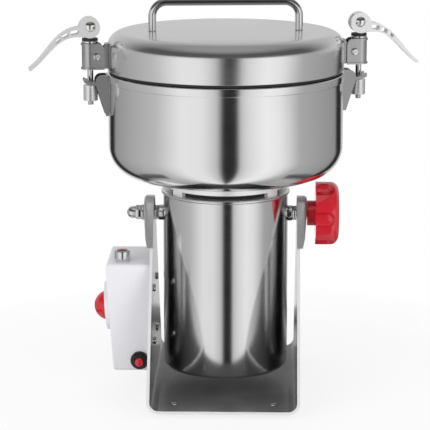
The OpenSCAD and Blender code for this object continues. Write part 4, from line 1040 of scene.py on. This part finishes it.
class GRAINMILL_OT_clamps(GrainMillPiece, bpy.types.Operator):
    """Swing clamps: boxes, screws, rings, threaded rods, nuts and cam levers"""
    bl_idname = "grainmill.clamps"
    bl_label = "Clamps"

    def build(self):
        for side, angle in (("left", CLAMP_TURN + 180), ("right", CLAMP_TURN)):
            place = turn(angle, "Z")
            softened("clamp_box_" + side, "clamp_steel", 0.0004, 3)
            self.lever(side, place)
            softened("clamp_nut_" + side, "nut_metal", 0.0004, 2)
            self.swing_pin(side, place)
            self.rings(side, place @ at(ROD_X, 0, CLAMP_BOX_TOP))
            self.rod(side, place @ at(ROD_X, 0, 0))

    def lever(self, side, place):
        """The ends of the cam pin, on both sides of the lever, are steel."""
        made = softened("clamp_lever_" + side, "lever_metal", 0.0006, 3)
        made.data.materials.append(finish_of("pin_steel"))
        for face in made.data.polygons:
            spot = place.inverted() @ face.center
            off = Vector((spot.x - ROD_X, spot.z - PIN_Z)).length
            face.material_index = off < PIN_R and abs(spot.y) > 0.004

    def swing_pin(self, side, place):
        shank_r, half, head_r, head_h, sunk = 0.002, 0.0084, 0.0036, 0.0018, 0.00007
        across = place @ at(SWING_X, 0, SWING_Z) @ ALONG_Y
        heads = bmesh.new()
        for end in (Matrix.Identity(4), MIRROR_Z):
            added(heads, moved(screw_head(head_r, head_h, "slot"), across @ end @ at(z=half - sunk)))
        added(heads, moved(turned([(0, -half), (shank_r, -half), (shank_r, half), (0, half)], 32), across))
        piece("swing_pin_" + side, heads, "clamp_" + side, "bright_metal", ["clamp_screw_" + side])

    def rings(self, side, on_box):
        """A bright ring on the box, and on it the black seat that the cam bears on."""
        bore_r, soft = ROD_R + APART, 0.0006
        ring_r, ring_h, seat_r, seat_h = 0.0083, 0.0026, 0.00805, 0.0025
        ring = tube(bore_r, ring_r, 0, ring_h, soft, soft)
        seat = tube(bore_r, seat_r, 0, seat_h, soft, soft)
        body, solids = "clamp_" + side, ["clamp_washers_" + side]
        piece("rod_ring_" + side, moved(ring, on_box), body, "handle_steel", solids)
        piece("cam_seat_" + side, moved(seat, on_box @ at(z=ring_h)), body, "black_plastic")

    def rod(self, side, on_rod):
        """Rod with its thread at the foot, a plain shank, and the eye round the cam pin."""
        pitch, thread, eye_in, eye_out, eye_half, soft = 0.001, 0.00045, 0.0026, 0.00525, 0.00315, 0.0005
        foot_z, shank_z = foot_of("clamp_rod_" + side), CLAMP_BOX_TOP - 0.04
        stem = moved(helix(ROD_R, pitch, shank_z - foot_z, thread, 24), at(z=foot_z))
        shank = turned([(0, shank_z), (ROD_R, shank_z, 0.0004), (ROD_R, PIN_Z), (0, PIN_Z)], 32)
        eye = tube(eye_in, eye_out, -eye_half, eye_half, soft, soft, 48)
        added(stem, shank, moved(eye, at(z=PIN_Z) @ ALONG_Y))
        piece("clamp_stem_" + side, moved(stem, on_rod), "rod_" + side, "bright_metal", ["clamp_rod_" + side])


class GRAINMILL_OT_knob(GrainMillPiece, bpy.types.Operator):
    """Lobed red knob that locks the tilt"""
    bl_idname = "grainmill.knob"
    bl_label = "Lock Knob"

    def build(self):
        """The knob is turned so that one of its six hollows faces the front."""
        lobe_turn = 30
        knob = softened("lock_knob", "red_plastic", 0.0022, 5)
        middle = middle_of("lock_knob")
        knob.data.transform(at(*middle) @ turn(lobe_turn, "X") @ at(*-middle))


class GRAINMILL_OT_inside(GrainMillPiece, bpy.types.Operator):
    """Finishes of the motor and the blades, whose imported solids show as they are"""
    bl_idname = "grainmill.inside"
    bl_label = "Motor and Blades"

    def build(self):
        for finish, nodes in PLAIN.items():
            for node in nodes:
                mesh = NODES[node].data
                mesh.materials.clear()
                mesh.materials.append(finish_of(finish))


# Each lamp: its name, its place, its width, and its share of the power
LAMPS = (
    ("key_lamp", (-1.3, -1.6, 0.9), 1.4, 1.0),
    ("fill_lamp", (1.5, -1.5, 0.8), 1.4, 0.8),
    ("back_lamp", (0.2, 1.6, 1.8), 1.6, 0.3))
LIT_HEIGHT = 0.2
FLOOR_R = 0.42


class GRAINMILL_OT_studio(GrainMillPiece, bpy.types.Operator):
    """White floor, soft lamps, the light tent that the steel mirrors, and the camera"""
    bl_idname = "grainmill.studio"
    bl_label = "Studio"

    def build(self):
        scene = bpy.context.scene
        self.floor()
        light_tent(scene)
        for lamp in LAMPS:
            self.lamp(scene.grain_mill_studio.lamps, *lamp)
        self.camera(scene)
        scene.view_settings.view_transform = "Standard"

    def floor(self):
        bm = bmesh.new()
        bmesh.ops.create_circle(bm, cap_ends=True, radius=FLOOR_R, segments=96)
        made = linked("floor", mesh_of("floor", bm))
        made.data.materials.append(floor_paper(FLOOR_R))

    def lamp(self, power, name, place, size, share):
        """A soft lamp that shines on the mill, and that neither the camera nor the steel sees."""
        light = bpy.data.lights.new(name, "AREA")
        light.shape = "SQUARE"
        light.size = size
        light.energy = power * share
        made = linked(name, light)
        made.location = place
        towards = Vector((0, 0, LIT_HEIGHT)) - Vector(place)
        made.rotation_euler = towards.to_track_quat("-Z", "Y").to_euler()
        made.visible_glossy = False
        made.visible_camera = False

    def camera(self, scene):
        studio = scene.grain_mill_studio
        lens = bpy.data.cameras.new("camera")
        lens.lens = studio.lens
        lens.sensor_width = 36
        lens.clip_start = 0.05
        made = linked("camera", lens)
        made.location = studio.camera_place
        made.rotation_euler = (pi / 2 - studio.camera_pitch, 0, studio.camera_yaw)
        scene.camera = made


class GRAINMILL_PT_panel(bpy.types.Panel):
    """Lists the pieces of the grain mill"""
    bl_idname = "GRAINMILL_PT_panel"
    bl_label = "Grain Mill"
    bl_space_type = "VIEW_3D"
    bl_region_type = "UI"
    bl_category = "Grain Mill"

    def draw(self, context):
        scene = context.scene
        for title, group in (("Look", scene.grain_mill_look), ("Studio", scene.grain_mill_studio)):
            box = self.layout.box()
            box.label(text=title)
            for name in group.__annotations__:
                box.prop(group, name)
        for operator in PIECES:
            self.layout.operator(operator.bl_idname)


PIECES = (
    GRAINMILL_OT_stand, GRAINMILL_OT_control_box, GRAINMILL_OT_barrel, GRAINMILL_OT_bowl, GRAINMILL_OT_pivots,
    GRAINMILL_OT_lid, GRAINMILL_OT_clamps, GRAINMILL_OT_knob, GRAINMILL_OT_inside, GRAINMILL_OT_studio)
CLASSES = (GrainMillLook, GrainMillStudio, *PIECES, GRAINMILL_PT_panel)


def register():
    for cls in CLASSES:
        bpy.utils.register_class(cls)
    bpy.types.Scene.grain_mill_look = PointerProperty(type=GrainMillLook)
    bpy.types.Scene.grain_mill_studio = PointerProperty(type=GrainMillStudio)


def unregister():
    del bpy.types.Scene.grain_mill_studio
    del bpy.types.Scene.grain_mill_look
    for cls in reversed(CLASSES):
        bpy.utils.unregister_class(cls)


def main():
    register()
    for operator in PIECES:
        family, name = operator.bl_idname.split(".")
        getattr(getattr(bpy.ops, family), name)()


if __name__ == "__main__":
    main()
